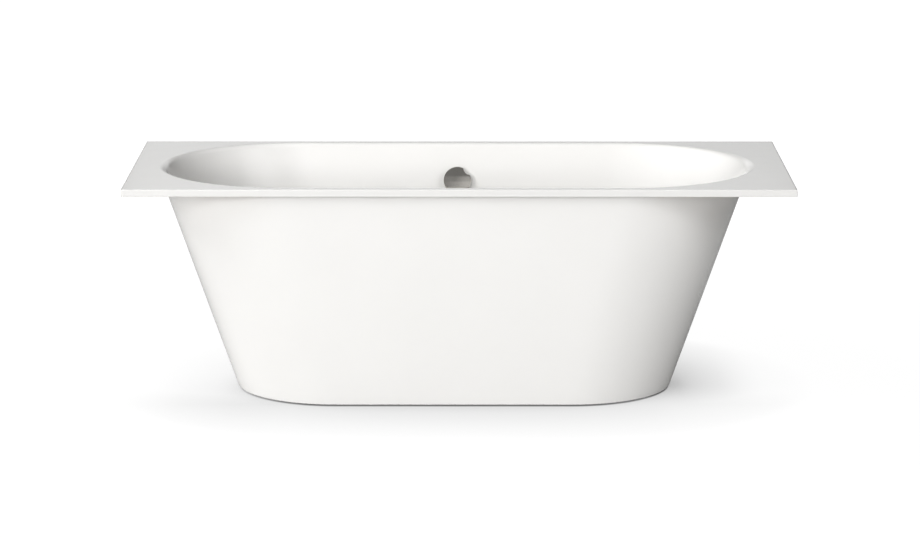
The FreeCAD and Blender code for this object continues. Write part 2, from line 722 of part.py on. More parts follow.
# ---------------------------------------------------------- waste and plug
seal_z = seat_z + 1.5
flange_ring = turned("waste_flange_ring", [
    (20, seal_z - 24.5), (24.5, seal_z - 24.5), (24.5, seal_z), (36, seal_z),
    (36, seal_z + 2.5), (35, seal_z + 3.5), (23, seal_z + 3.5), (20, seal_z + 1)])
place(flange_ring, basin_x, 0, 0)
hub = cylinder("waste_hub", 8, 8, basin_x, 0, seal_z - 21.5)
arms = []
for n in range(3):
    arms.append(block("waste_arm_%d" % n, 16, 4, 8, basin_x, 0, seal_z - 21.5,
                      Rotation(V(0, 0, 1), 30 + 120 * n)))
    arms[-1].Placement = arms[-1].Placement.multiply(Placement(V(6, -2, 0), Rotation()))
    off = V(6, -2, 0)
    off = Rotation(V(0, 0, 1), 30 + 120 * n).multVec(off)
    arms[-1].setExpression("Placement.Base.x", "Sizes.basin_x + (%.6f)" % off.x)
guide_bore = cylinder("waste_guide_bore", 4.06, 20, basin_x, 0, seal_z - 28)
sub_part("waste_flange", cut("waste_flange_cut",
                             fuse("waste_flange_fuse", flange_ring, hub, *arms), guide_bore))
sub_part("waste_flange_seal", place(ring("flange_seal", drain_rad + 0.5, 35, seat_z, seal_z),
                                    basin_x, 0, 0))
gasket_z = seat_z - shell_thk
sub_part("waste_body_gasket", place(ring("body_gasket", drain_rad, 44, gasket_z - 3, gasket_z),
                                    basin_x, 0, 0))

wb_top = gasket_z - 3
wb_out = turned("waste_body_out", [
    (0, wb_top), (44, wb_top), (44, wb_top - 5), (chamber_rad + 3, wb_top - 5),
    (chamber_rad + 3, run_z - 21), (trap_rad, run_z - 21), (trap_rad, run_z - 36), (0, run_z - 36)])
place(wb_out, basin_x, 0, 0)
wb_in = turned("waste_body_in", [
    (0, wb_top + 1), (24.7, wb_top + 1), (24.7, run_z + 18), (chamber_rad, run_z + 18),
    (chamber_rad, run_z - 18), (trap_bore, run_z - 18), (trap_bore, run_z - 37), (0, run_z - 37)])
place(wb_in, basin_x, 0, 0)
socket = cylinder("waste_socket", pipe_rad + 2.6, 40, basin_x, 16, run_z, ALONG_Y)
socket_bore = cylinder("waste_socket_bore", pipe_bore, 60, basin_x, 0, run_z, ALONG_Y)
socket_seat = cylinder("waste_socket_seat", pipe_rad + 0.1, 30, basin_x, 34, run_z, ALONG_Y)
sub_part("waste_body", cut("waste_body_cut", fuse("waste_body_fuse", wb_out, socket),
                           wb_in, socket_bore, socket_seat))

# lift of the plug, worked by a rocking lever in the horizontal run
swing = 2 * crank_rad * math.sin(math.radians(45)) / side_cos
arm = lever_y
tip_low = run_z - 0.5 * swing
tip_high = run_z + 0.5 * swing
stem_foot = tip_low + 4.35
flange_top = seal_z + 3.5
plug_low = flange_top + 2.2
sub_part("plug_seal", place(ring("plug_ring", 18.7, 27, flange_top + 0.2, plug_low), basin_x, 0, 0))
sub_part("plug_cap", place(turned("plug_dome", [
    (4, plug_low - 10), (9, plug_low - 10), (9, plug_low - 5), (18.5, plug_low - 5),
    (18.5, plug_low), (28.5, plug_low), (30, plug_low + 1.2), (29.2, plug_low + 2.6),
    (24, plug_low + 4.2), (14, plug_low + 5.4), (0, plug_low + 5.8), (0, plug_low - 2),
    (4, plug_low - 2)]), basin_x, 0, 0))
sub_part("plug_stem", place(turned("stem_rod", [
    (0, stem_foot), (7, stem_foot), (7, stem_foot + 4), (4, stem_foot + 4),
    (4, plug_low - 2), (0, plug_low - 2)]), basin_x, 0, 0))
sub_part("stem_lock_nut", cut(
    "stem_nut", prism("stem_nut_hex", 6, 7.5, 4.5, basin_x, 0, plug_low - 14.6),
    cylinder("stem_nut_bore", 4, 8, basin_x, 0, plug_low - 16)))

# rocking lever, drawn level and leaned to its rest
lever = new_body("lever_body")
sk = sketch_on(lever, "lever_bar_section", "XZ_Plane")
circle(sk, 0, 0, 3)
pad_on(lever, "lever_bar", sk, 2 * arm, midplane=True)
for tag, y, r, wide in (("front", -arm, 4, 14), ("hub", qty(0), 6, 10), ("rear", qty(riser_y - arm), 4, 21)):
    sk = sketch_on(lever, "lever_%s_section" % tag, "YZ_Plane")
    circle(sk, y, 0, r)
    pad_on(lever, "lever_%s_roller" % tag, sk, wide, midplane=True)
doc.recompute()
full = lever.Shape.Volume
sk = sketch_on(lever, "lever_bore_section", "YZ_Plane")
circle(sk, 0, 0, 2.05)
pocket_on(lever, "lever_bore", sk, 40, midplane=True)
doc.recompute()
if lever.Shape.Volume > full - 50:
    raise RuntimeError("lever bore did not cut")
lever_rest = math.degrees(math.asin(0.5 * swing.v / arm.v))
place(lever, basin_x, lever_y, run_z, Rotation(V(1, 0, 0), lever_rest))
lever.setExpression("Placement.Rotation.Angle", "asin(%s)" % (0.5 * swing / arm).t)
sub_part("lift_lever", lever)
sub_part("lever_pin", cylinder("lever_pin_rod", 2, 39, basin_x - 19.5, lever_y, run_z, ALONG_X))

# horizontal run, tee and riser of the overflow
run_tube = cut("run_tube", cylinder("run_out", pipe_rad, riser_y - 56.6, basin_x, 34.3, run_z, ALONG_Y),
               cylinder("run_in", pipe_bore, riser_y, basin_x, 0, run_z, ALONG_Y),
               cylinder("run_pin_hole", 2, 60, basin_x - 30, lever_y, run_z, ALONG_X))
sub_part("overflow_run", run_tube)
sub_part("pivot_saddle", cut(
    "saddle", cylinder("saddle_out", pipe_rad + 4.5, 22, basin_x, lever_y - 11, run_z, ALONG_Y),
    cylinder("saddle_in", pipe_rad + 0.1, 30, basin_x, lever_y - 15, run_z, ALONG_Y),
    cylinder("saddle_hole", 2, 60, basin_x - 30, lever_y, run_z, ALONG_X)))
tee = cut(
    "tee", fuse("tee_out",
                cylinder("tee_up", pipe_rad + 3.2, 54, basin_x, riser_y, run_z - 20),
                cylinder("tee_along", pipe_rad + 2.6, 38, basin_x, riser_y - 38, run_z, ALONG_Y)),
    cylinder("tee_up_bore", pipe_bore + 0.8, 60, basin_x, riser_y, run_z - 17),
    cylinder("tee_up_seat", pipe_rad + 0.1, 40, basin_x, riser_y, run_z + 14),
    cylinder("tee_along_bore", pipe_bore, 60, basin_x, riser_y - 60, run_z, ALONG_Y),
    cylinder("tee_along_seat", pipe_rad + 0.1, 60, basin_x, riser_y - 82, run_z, ALONG_Y))
sub_part("overflow_tee", tee)
spigot_z = over_z - 61
riser_tube = cut("riser_tube",
                 cylinder("riser_out", pipe_rad, spigot_z + 21.4 - (run_z + 14.3), basin_x, riser_y, run_z + 14.3),
                 cylinder("riser_in", pipe_bore, 500, basin_x, riser_y, run_z))
sub_part("overflow_riser", riser_tube)
rings = []
for tag, x, y, z, rot in (("front", basin_x, qty(56), run_z, ALONG_Y),
                          ("rear", basin_x, riser_y - 41, run_z, ALONG_Y),
                          ("low", basin_x, riser_y, run_z + 34, None),
                          ("high", basin_x, riser_y, spigot_z - 3, None)):
    rings.append(cut("pipe_seal_" + tag,
                     cylinder("pipe_seal_out_" + tag, pipe_rad + 3.6, 3, x, y, z, rot),
                     cylinder("pipe_seal_in_" + tag, pipe_rad, 3, x, y, z, rot)))
sub_part("pipe_seals", group("pipe_seal_set", *rings))

# --------------------------------------------------------------- the trap
neck_z = run_z - 36
trap_top = neck_z - 2
trap_x2 = basin_x + 2 * trap_bend_rad


def u_path(sk):
    x0, x1 = basin_x, trap_x2
    zb, zt, ze = qty(trap_top - 16), trap_top, qty(trap_top - 6)
    r = trap_bend_rad
    sk.addGeometry([
        Part.LineSegment(V(x0.v, zt.v, 0), V(x0.v, zb.v, 0)),
        Part.ArcOfCircle(Part.Circle(V(x0.v + r.v, zb.v, 0), V(0, 0, 1), r.v), math.pi, 2 * math.pi),
        Part.LineSegment(V(x1.v, zb.v, 0), V(x1.v, ze.v, 0))], False)
    c = Sketcher.Constraint
    sk.addConstraint([c("Tangent", 0, 2, 1, 1), c("Tangent", 1, 2, 2, 1), c("Vertical", 0)])
    k = sk.addConstraint(c("Radius", 1, r.v))
    sk.renameConstraint(k, "bend")
    sk.setExpression("Constraints.bend", r.t)
    fix_point(sk, 0, 1, x0, zt)
    k = sk.addConstraint(c("DistanceY", -1, 1, 0, 2, zb.v))
    sk.renameConstraint(k, "leg_end")
    sk.setExpression("Constraints.leg_end", zb.t)
    k = sk.addConstraint(c("DistanceY", -1, 1, 2, 2, ze.v))
    sk.renameConstraint(k, "leg_out")
    sk.setExpression("Constraints.leg_out", ze.t)
    return 3


u_tube = pipe_body("trap_tube", "XZ_Plane", 0, u_path, trap_rad, trap_bore)
doc.recompute()
collar_in = place(ring("trap_collar_in", trap_bore + 0.5, trap_rad + 3, trap_top - 4, trap_top), basin_x, 0, 0)
collar_out = place(ring("trap_collar_out", trap_bore + 0.5, trap_rad + 3, trap_top - 10, trap_top - 6), trap_x2, 0, 0)
sub_part("trap_bend", fuse("trap_bend_fuse", u_tube, collar_in, collar_out))
seal_a = place(ring("trap_seal_in", trap_bore, trap_rad, trap_top, neck_z), basin_x, 0, 0)
seal_b = place(ring("trap_seal_out", trap_bore, trap_rad, trap_top - 6, trap_top - 4), trap_x2, 0, 0)
sub_part("trap_seals", group("trap_seal_set", seal_a, seal_b))
for label, x, z in (("trap_inlet_nut", basin_x, trap_top), ("trap_outlet_nut", trap_x2, trap_top - 6)):
    bore = turned(label + "_bore", [
        (0, -30), (trap_rad + 0.15, -30), (trap_rad + 0.15, -4.2), (trap_rad + 3.15, -4.2),
        (trap_rad + 3.15, 0.2), (trap_rad + 0.15, 0.2), (trap_rad + 0.15, 30), (0, 30)])
    place(bore, x, 0, z)
    sub_part(label, cut(label + "_cut", prism(label + "_grip", 8, 29, 18, x, 0, z - 8), bore))

out_low = trap_top - 4
elbow_rad = size("elbow_rad", 30, "radius of the outlet elbow")
outlet_end = size("outlet_end", 334, "end of the outlet pipe")
doc.recompute()


def elbow_path(sk):
    y1, z1, r = outlet_end, outlet_z, elbow_rad
    sk.addGeometry([
        Part.LineSegment(V(0, out_low.v, 0), V(0, z1.v - r.v, 0)),
        Part.ArcOfCircle(Part.Circle(V(r.v, z1.v - r.v, 0), V(0, 0, 1), r.v), math.pi / 2, math.pi),
        Part.LineSegment(V(r.v, z1.v, 0), V(y1.v, z1.v, 0))], False)
    c = Sketcher.Constraint
    sk.addConstraint([c("Tangent", 0, 2, 1, 2), c("Tangent", 1, 1, 2, 1), c("Vertical", 0), c("Horizontal", 2)])
    k = sk.addConstraint(c("Radius", 1, r.v))
    sk.renameConstraint(k, "bend")
    sk.setExpression("Constraints.bend", r.t)
    fix_point(sk, 0, 1, 0, out_low)
    fix_point(sk, 2, 2, y1, z1)
    return 3


elbow = pipe_body("outlet_tube", "YZ_Plane", trap_x2, elbow_path, trap_rad, trap_bore)
stop = cut("outlet_stop", cylinder("outlet_stop_out", trap_rad + 4, 6, trap_x2, outlet_end - 66, outlet_z, ALONG_Y),
           cylinder("outlet_stop_in", trap_bore + 0.5, 10, trap_x2, outlet_end - 68, outlet_z, ALONG_Y))
sub_part("trap_outlet_pipe", fuse("outlet_fuse", elbow, stop))

# ----------------------------------------------------------- overflow set
sub_part("rosette_seal", over(ring("rosette_ring", over_rad + 0.5, 32, 0, 1.5)))
rosette_ring = over(turned("rosette_turned", [
    (24, -8), (26, -8), (26, 1.5), (34, 1.5), (34, 3.5), (32.5, 4.5), (25, 4.5), (24, 3.5)]))
rosette_hub = over(cylinder("rosette_hub", 8.5, 14), 0, 0, -8)
rosette_arm = over(block("rosette_arm", 8, 50, 8), -4, -25, -6)
sub_part("overflow_rosette", cut(
    "rosette", fuse("rosette_fuse", rosette_ring, rosette_hub, rosette_arm),
    over(cylinder("rosette_bore", 5.06, 40), 0, 0, -20),
    over(cylinder("rosette_hole_up", 2.05, 40), 0, 18, -20),
    over(cylinder("rosette_hole_down", 2.05, 40), 0, -18, -20)))
sub_part("overflow_gasket", over(ring("over_gasket", over_rad, 37, -9, -shell_thk)))

cup_out = over(turned("cup_out", [(0, -44), (33, -44), (33, -13), (40, -13), (40, -9), (0, -9)]))
cup_in = over(turned("cup_in", [(0, -41), (30, -41), (30, -12), (26.3, -12), (26.3, -5), (0, -5)]))
spigot = cylinder("cup_spigot", pipe_rad + 2.6, 38, basin_x, riser_y, spigot_z)
spigot_bore = cylinder("cup_spigot_bore", pipe_bore, 14, basin_x, riser_y, spigot_z + 21)
spigot_seat = cylinder("cup_spigot_seat", pipe_rad + 0.1, 22, basin_x, riser_y, spigot_z)
cup_hollow = cut("cup_hollow", fuse("cup_fuse", cup_out, spigot), cup_in, spigot_bore, spigot_seat)
bosses = [over(cylinder("cup_boss_up", 4, 29), 0, 18, -42), over(cylinder("cup_boss_down", 4, 29), 0, -18, -42)]
sub_part("overflow_body", cut(
    "cup", fuse("cup_bossed", cup_hollow, *bosses),
    over(cylinder("cup_hole_up", 2, 26), 0, 18, -36),
    over(cylinder("cup_hole_down", 2, 26), 0, -18, -36)))
rs = []
for tag, y in (("up", 18), ("down", -18)):
    rs.append(fuse("rosette_screw_" + tag,
                   over(cylinder("rosette_screw_shank_" + tag, 2, 33), 0, y, -30.5),
                   over(cylinder("rosette_screw_head_" + tag, 3.6, 2.2), 0, y, 2)))
sub_part("rosette_screws", group("rosette_screw_set", *rs))

# knob: a disc with a finger notch, hollow behind
kf = knob_front
disc = over(turned("knob_disc", [
    (5, kf - 15), (10, kf - 15), (10, kf - 8), (26, kf - 8), (26, kf - 14), (36, kf - 14),
    (knob_rad, kf - 13), (knob_rad, kf - 1.6), (knob_rad - 1.6, kf), (0, kf), (0, kf - 2), (5, kf - 2)]))
notch_deg = size("notch_deg", 44, "angle of the finger notch")
notch_rad = size("notch_rad", 18, "radius of the finger notch")
notch_deep = size("notch_deep", 7, "depth of the finger notch")
doc.recompute()
notch_off = knob_rad + notch_rad - notch_deep
nx = Quantity(notch_off.v * math.cos(math.radians(notch_deg.v)), "(%s * cos(%s * 1 deg))" % (notch_off.t, notch_deg.t))
ny = Quantity(notch_off.v * math.sin(math.radians(notch_deg.v)), "(%s * sin(%s * 1 deg))" % (notch_off.t, notch_deg.t))
notch = over(cylinder("knob_notch", notch_rad, 40), nx, ny, 0)
grub_hole = cylinder("knob_grub_hole", 2.5, 40, basin_x,
                     over_y - side_cos * (kf - 5), over_z + side_sin * (kf - 5),
                     Rotation(V(1, 0, 0), 180 - side_lean_deg))
grub_hole.setExpression("Placement.Rotation.Angle", "180 deg - " + side_lean)
sub_part("overflow_knob", cut("knob", disc, notch, grub_hole))
grub = cylinder("knob_grub", 2.45, 9, basin_x,
                over_y - side_cos * (kf - 5) - side_sin * 5.1, over_z + side_sin * (kf - 5) - side_cos * 5.1,
                Rotation(V(1, 0, 0), 180 - side_lean_deg))
grub.setExpression("Placement.Rotation.Angle", "180 deg - " + side_lean)
sub_part("knob_grub_screw", grub)

spin = new_body("knob_spindle_body")
sk = sketch_on(spin, "spindle_outline", "XZ_Plane")
polygon(sk, [(0, -12.5), (13, -12.5), (13, -8.5), (5, -8.5), (5, kf - 2), (0, kf - 2)])
rev = spin.newObject("PartDesign::Revolution", "spindle_turn")
rev.Profile = sk
rev.ReferenceAxis = (sk, ["V_Axis"])
rev.Angle = 360
spin.Tip = rev
doc.recompute()
sk = sketch_on(spin, "crank_pin_section", "XY_Plane", -30)
px = Quantity(crank_rad.v * math.cos(math.radians(crank_deg.v)), "(%s * cos(%s * 1 deg))" % (crank_rad.t, crank_deg.t))
py = Quantity(crank_rad.v * math.sin(math.radians(crank_deg.v)), "(%s * sin(%s * 1 deg))" % (crank_rad.t, crank_deg.t))
circle(sk, px, py, 2)
pad_on(spin, "crank_pin", sk, 19)
doc.recompute()
over(spin)
sub_part("knob_spindle", spin)

# pull rod: the crank pin rides in its slotted head, its foot rests on the lever
pin_z = over_z + (py - (riser_y - over_y) * side_sin) / side_cos
rod_x = basin_x - 7.7
head = block("rod_head", 12.5, 3, 13, rod_x - 6.3, riser_y - 1.5, pin_z - 6.5)
slot = block("rod_slot", 8.2, 10, 6.2, basin_x - 11.8, riser_y - 5, pin_z - 3.1)
rod_low = tip_high + 4.35
shank = cylinder("rod_shank", 2.5, pin_z - 5 - rod_low, rod_x, riser_y, rod_low)
sub_part("pull_rod", fuse("rod", cut("rod_head_cut", head, slot), shank))

# ------------------------------------------------------- checks and output
doc.recompute()
for o in doc.Objects:
    if "Invalid" in o.State or "Error" in o.State:
        raise RuntimeError("%s (%s) failed: %s" % (o.Name, o.Label, o.State))
os.makedirs("parts", exist_ok=True)
for label, o in nodes:
    s = o.Shape
    if s.isNull() or not s.isValid() or not s.Solids:
        raise RuntimeError(label + ": bad shape")
for label, o in nodes:
    o.Shape.exportStep(os.path.join("parts", label + ".step"))
print(len(nodes), "sub-parts")
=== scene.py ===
import json
import math
import bpy
import bmesh
from mathutils import Matrix, Vector

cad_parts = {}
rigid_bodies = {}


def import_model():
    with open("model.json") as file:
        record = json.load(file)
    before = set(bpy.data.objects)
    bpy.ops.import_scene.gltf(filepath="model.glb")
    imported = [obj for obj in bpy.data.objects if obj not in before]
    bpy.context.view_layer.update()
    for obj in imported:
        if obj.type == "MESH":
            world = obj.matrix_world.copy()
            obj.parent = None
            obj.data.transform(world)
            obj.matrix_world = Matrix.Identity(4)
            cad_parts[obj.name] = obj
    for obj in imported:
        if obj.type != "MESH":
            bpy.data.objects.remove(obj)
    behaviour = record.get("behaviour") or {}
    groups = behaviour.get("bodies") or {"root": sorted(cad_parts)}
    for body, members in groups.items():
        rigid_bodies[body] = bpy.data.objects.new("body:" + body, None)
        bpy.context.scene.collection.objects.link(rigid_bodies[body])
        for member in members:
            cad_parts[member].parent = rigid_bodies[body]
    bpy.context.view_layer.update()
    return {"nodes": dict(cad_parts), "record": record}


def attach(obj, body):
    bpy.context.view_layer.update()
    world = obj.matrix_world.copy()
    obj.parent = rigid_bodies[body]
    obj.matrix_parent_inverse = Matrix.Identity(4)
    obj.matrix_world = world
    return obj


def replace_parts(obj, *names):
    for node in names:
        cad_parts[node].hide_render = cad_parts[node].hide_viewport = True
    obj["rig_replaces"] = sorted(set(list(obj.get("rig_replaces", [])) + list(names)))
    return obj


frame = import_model()
nodes = frame["nodes"]

MM = 0.001
HALF = math.pi / 2


# ------------------------------------------------------------------ materials
def new_mat(name):
    m = bpy.data.materials.new(name)
    m.use_nodes = True
    nt = m.node_tree
    bsdf = nt.nodes["Principled BSDF"]
    return m, nt, bsdf


def add(nt, kind, **values):
    n = nt.nodes.new(kind)
    for key, value in values.items():
        if key.startswith("in_"):
            n.inputs[key[3:].replace("_", " ")].default_value = value
        else:
            setattr(n, key, value)
    return n


def coords(nt, scale=(1, 1, 1), rot=(0, 0, 0)):
    tc = add(nt, "ShaderNodeTexCoord")
    mp = add(nt, "ShaderNodeMapping")
    mp.inputs["Scale"].default_value = scale
    mp.inputs["Rotation"].default_value = rot
    nt.links.new(tc.outputs["Object"], mp.inputs["Vector"])
    return mp.outputs["Vector"]


def noise(nt, vec, scale, detail=4.0, rough=0.55, dist=0.0):
    n = add(nt, "ShaderNodeTexNoise")
    n.inputs["Scale"].default_value = scale
    n.inputs["Detail"].default_value = detail
    n.inputs["Roughness"].default_value = rough
    n.inputs["Distortion"].default_value = dist
    nt.links.new(vec, n.inputs["Vector"])
    return n.outputs["Fac"]


def voronoi(nt, vec, scale, feature="F1", out="Distance", rand=1.0):
    n = add(nt, "ShaderNodeTexVoronoi", feature=feature)
    n.inputs["Scale"].default_value = scale
    n.inputs["Randomness"].default_value = rand
    nt.links.new(vec, n.inputs["Vector"])
    return n.outputs[out]


def ramp(nt, fac, stops):
    n = add(nt, "ShaderNodeValToRGB")
    el = n.color_ramp.elements
    while len(el) < len(stops):
        el.new(0.5)
    for e, (pos, col) in zip(el, stops):
        e.position = pos
        e.color = (*col, 1) if len(col) == 3 else col
    nt.links.new(fac, n.inputs["Fac"])
    return n.outputs["Color"]


def span(nt, fac, lo, hi, a, b):
    n = add(nt, "ShaderNodeMapRange")
    n.inputs["From Min"].default_value = lo
    n.inputs["From Max"].default_value = hi
    n.inputs["To Min"].default_value = a
    n.inputs["To Max"].default_value = b
    nt.links.new(fac, n.inputs["Value"])
    return n.outputs["Result"]


def mix(nt, fac, a, b, kind="MIX"):
    n = add(nt, "ShaderNodeMix", data_type="RGBA", blend_type=kind)
    sock = [s for s in n.inputs if s.type == "RGBA"]
    for s, v in zip(sock, (a, b)):
        if hasattr(v, "is_linked"):
            nt.links.new(v, s)
        else:
            s.default_value = (*v, 1)
    f = n.inputs[0]
    if hasattr(fac, "is_linked"):
        nt.links.new(fac, f)
    else:
        f.default_value = fac
    return [s for s in n.outputs if s.type == "RGBA"][0]


def math_node(nt, op, a, b=0.0):
    n = add(nt, "ShaderNodeMath", operation=op)
    for s, v in zip(n.inputs, (a, b)):
        if hasattr(v, "is_linked"):
            nt.links.new(v, s)
        else:
            s.default_value = v
    return n.outputs[0]


def bump(nt, bsdf, height, strength, distance):
    n = add(nt, "ShaderNodeBump")
    n.inputs["Strength"].default_value = strength
    n.inputs["Distance"].default_value = distance
    nt.links.new(height, n.inputs["Height"])
    nt.links.new(n.outputs["Normal"], bsdf.inputs["Normal"])


def acrylic():
    m, nt, b = new_mat("sanitary_acrylic")
    v = coords(nt)
    cloud = noise(nt, v, 3.0, 3.0)
    col = ramp(nt, cloud, [(0.30, (0.760, 0.753, 0.738)), (0.70, (0.775, 0.768, 0.753))])
    # painted shade: the turned-down edge of the flange is set a little darker than the faces, standing in for less
    # light on it, to bring its tone down to that of the skirt below
    sep = add(nt, "ShaderNodeSeparateXYZ")
    nt.links.new(v, sep.inputs[0])
    lip_painted_shade = math_node(nt, "MAXIMUM", span(nt, math_node(nt, "ABSOLUTE", sep.outputs[0]), 0.8475, 0.8498, 0.0, 1.0),
                     span(nt, math_node(nt, "ABSOLUTE", sep.outputs[1]), 0.3725, 0.3748, 0.0, 1.0))
    nt.links.new(mix(nt, lip_painted_shade, col, (0.668, 0.661, 0.648)), b.inputs["Base Color"])
    nt.links.new(span(nt, noise(nt, v, 14.0, 5.0), 0.3, 0.7, 0.23, 0.25), b.inputs["Roughness"])
    b.inputs["IOR"].default_value = 1.49
    b.inputs["Coat Weight"].default_value = 0.7
    b.inputs["Coat Roughness"].default_value = 0.12
    bump(nt, b, noise(nt, v, 260.0, 2.0, 0.4), 0.01, 0.0004)
    return m


def fibre_backing():
    """Sprayed resin with chopped strands, on the hidden sides of the sheets."""
    m, nt, b = new_mat("glass_fibre_backing")
    base = coords(nt)
    height = None
    for k, ang in enumerate((0.3, 1.2, 2.0, 2.75)):
        v = coords(nt, (22, 190, 60), (ang * 0.6, ang * 0.35, ang))
        s = noise(nt, v, 1.0, 2.0, 0.5, 0.4)
        s = span(nt, s, 0.52, 0.66, 0.0, 1.0)
        height = s if height is None else math_node(nt, "MAXIMUM", height, s)
    col = ramp(nt, height, [(0.0, (0.47, 0.48, 0.41)), (0.55, (0.60, 0.61, 0.54)), (1.0, (0.74, 0.75, 0.69))])
    blot = ramp(nt, noise(nt, base, 9.0, 4.0), [(0.35, (0.80, 0.80, 0.78)), (0.65, (1.0, 1.0, 1.0))])
    nt.links.new(mix(nt, 1.0, col, blot, "MULTIPLY"), b.inputs["Base Color"])
    nt.links.new(span(nt, height, 0.0, 1.0, 0.38, 0.62), b.inputs["Roughness"])
    lumps = math_node(nt, "ADD", height, math_node(nt, "MULTIPLY", noise(nt, base, 40.0, 3.0), 1.3))
    bump(nt, b, lumps, 0.55, 0.0012)
    return m


def chipboard():
    m, nt, b = new_mat("chipboard")
    v = coords(nt, (1, 1, 1.6))
    cell = voronoi(nt, v, 260.0, out="Color")
    sep = add(nt, "ShaderNodeSeparateColor")
    nt.links.new(cell, sep.inputs["Color"])
    flakes = ramp(nt, sep.outputs[0], [(0.0, (0.30, 0.20, 0.11)), (0.3, (0.50, 0.36, 0.21)),
                                       (0.65, (0.63, 0.48, 0.31)), (1.0, (0.74, 0.60, 0.42))])
    big = ramp(nt, noise(nt, v, 24.0, 5.0), [(0.3, (0.82, 0.80, 0.78)), (0.7, (1, 1, 1))])
    nt.links.new(mix(nt, 1.0, flakes, big, "MULTIPLY"), b.inputs["Base Color"])
    b.inputs["Roughness"].default_value = 0.78
    bump(nt, b, voronoi(nt, v, 260.0), 0.35, 0.0008)
    return m


def metal(name, dark, light, r0, r1, spangle, grain, strength=0.08):
    m, nt, b = new_mat(name)
    v = coords(nt)
    cell = voronoi(nt, v, spangle, out="Color")
    sep = add(nt, "ShaderNodeSeparateColor")
    nt.links.new(cell, sep.inputs["Color"])
    col = ramp(nt, sep.outputs[0], [(0.0, dark), (1.0, light)])
    nt.links.new(col, b.inputs["Base Color"])
    b.inputs["Metallic"].default_value = 1.0
    fine = noise(nt, v, grain, 4.0)
    nt.links.new(span(nt, fine, 0.3, 0.7, r0, r1), b.inputs["Roughness"])
    bump(nt, b, fine, strength, 0.0003)
    return m


def chrome():
    m, nt, b = new_mat("polished_chrome")
    v = coords(nt)
    film = noise(nt, v, 60.0, 5.0)
    col = ramp(nt, film, [(0.3, (0.670, 0.645, 0.600)), (0.7, (0.705, 0.678, 0.632))])
    nt.links.new(col, b.inputs["Base Color"])
    b.inputs["Metallic"].default_value = 1.0
    nt.links.new(span(nt, film, 0.3, 0.7, 0.05, 0.08), b.inputs["Roughness"])
    bump(nt, b, noise(nt, v, 900.0, 2.0), 0.01, 0.0001)
    return m


def plastic(name, dark, light, r0, r1, grain, strength, spec=0.4):
    m, nt, b = new_mat(name)
    v = coords(nt)
    tone = noise(nt, v, 18.0, 4.0)
    nt.links.new(ramp(nt, tone, [(0.3, dark), (0.7, light)]), b.inputs["Base Color"])
    fine = noise(nt, v, grain, 3.0)
    nt.links.new(span(nt, fine, 0.3, 0.7, r0, r1), b.inputs["Roughness"])
    b.inputs["Specular IOR Level"].default_value = spec
    bump(nt, b, fine, strength, 0.0004)
    return m


MAT = {
    "acrylic_white": acrylic(),
    "backing": fibre_backing(),
    "chipboard": chipboard(),
    "zinc_steel": metal("zinc_plated_steel", (0.50, 0.51, 0.53), (0.66, 0.67, 0.68), 0.26, 0.42, 160.0, 420.0),
    "brass": metal("turned_brass", (0.62, 0.44, 0.17), (0.74, 0.56, 0.26), 0.22, 0.36, 300.0, 600.0),
    "chrome": chrome(),
    "seal_rubber": plastic("seal_rubber", (0.020, 0.020, 0.021), (0.036, 0.036, 0.037), 0.55, 0.75, 700.0, 0.25, 0.3),
    "pipe_plastic": plastic("pipe_plastic", (0.66, 0.66, 0.64), (0.72, 0.72, 0.70), 0.30, 0.42, 500.0, 0.06, 0.45),
    "nut_plastic": plastic("nut_plastic", (0.36, 0.37, 0.38), (0.44, 0.45, 0.46), 0.40, 0.55, 800.0, 0.18, 0.4),
    "foot_plastic": plastic("foot_plastic", (0.028, 0.028, 0.030), (0.050, 0.050, 0.053), 0.45, 0.62, 900.0, 0.30, 0.35),
    "bond_adhesive": plastic("bond_adhesive", (0.55, 0.55, 0.52), (0.66, 0.66, 0.63), 0.45, 0.6, 120.0, 0.45, 0.35),
}
slot_of = {s["node"]: s["material_slot"] for s in frame["record"]["subparts"]}
for name, obj in nodes.items():
    mat = MAT[slot_of[name]]
    if not obj.material_slots:
        obj.data.materials.append(mat)
    for s in obj.material_slots:
        s.material = mat


# -------------------------------------------------------------- mesh helpers
def make(name, verts, faces, mats, mat_ids=None, smooth=True):
    me = bpy.data.meshes.new(name)
    me.from_pydata([tuple(c * MM for c in v) for v in verts], [], faces)
    for m in mats:
        me.materials.append(m)
    if mat_ids:
        me.polygons.foreach_set("material_index", mat_ids)
    me.polygons.foreach_set("use_smooth", [smooth] * len(me.polygons))
    me.validate()
    ob = bpy.data.objects.new(name, me)
    bpy.context.scene.collection.objects.link(ob)
    bm = bmesh.new()
    bm.from_mesh(me)
    bmesh.ops.remove_doubles(bm, verts=bm.verts, dist=1e-7)
    bmesh.ops.recalc_face_normals(bm, faces=bm.faces)
    bm.to_mesh(me)
    bm.free()
    return ob


def sharpen(ob, deg):
    """Mark edges sharper than deg, so that smooth shading stops there."""
    bm = bmesh.new()
    bm.from_mesh(ob.data)
    for e in bm.edges:
        if len(e.link_faces) == 2:
            e.smooth = e.calc_face_angle(0.0) < math.radians(deg)
    bm.to_mesh(ob.data)
    bm.free()


def even_normals(ob):
    w = ob.modifiers.new("normals", "WEIGHTED_NORMAL")
    w.keep_sharp = True
    w.weight = 50


def cut_with(ob, cutter):
    mod = ob.modifiers.new("cut", "BOOLEAN")
    mod.operation = "DIFFERENCE"
    mod.solver = "EXACT"
    mod.object = cutter
    bpy.context.view_layer.update()
    dg = bpy.context.evaluated_depsgraph_get()
    me = bpy.data.meshes.new_from_object(ob.evaluated_get(dg))
    ob.modifiers.remove(mod)
    old = ob.data
    ob.data = me
    bpy.data.meshes.remove(old)
    me2 = cutter.data
    bpy.data.objects.remove(cutter)
    bpy.data.meshes.remove(me2)


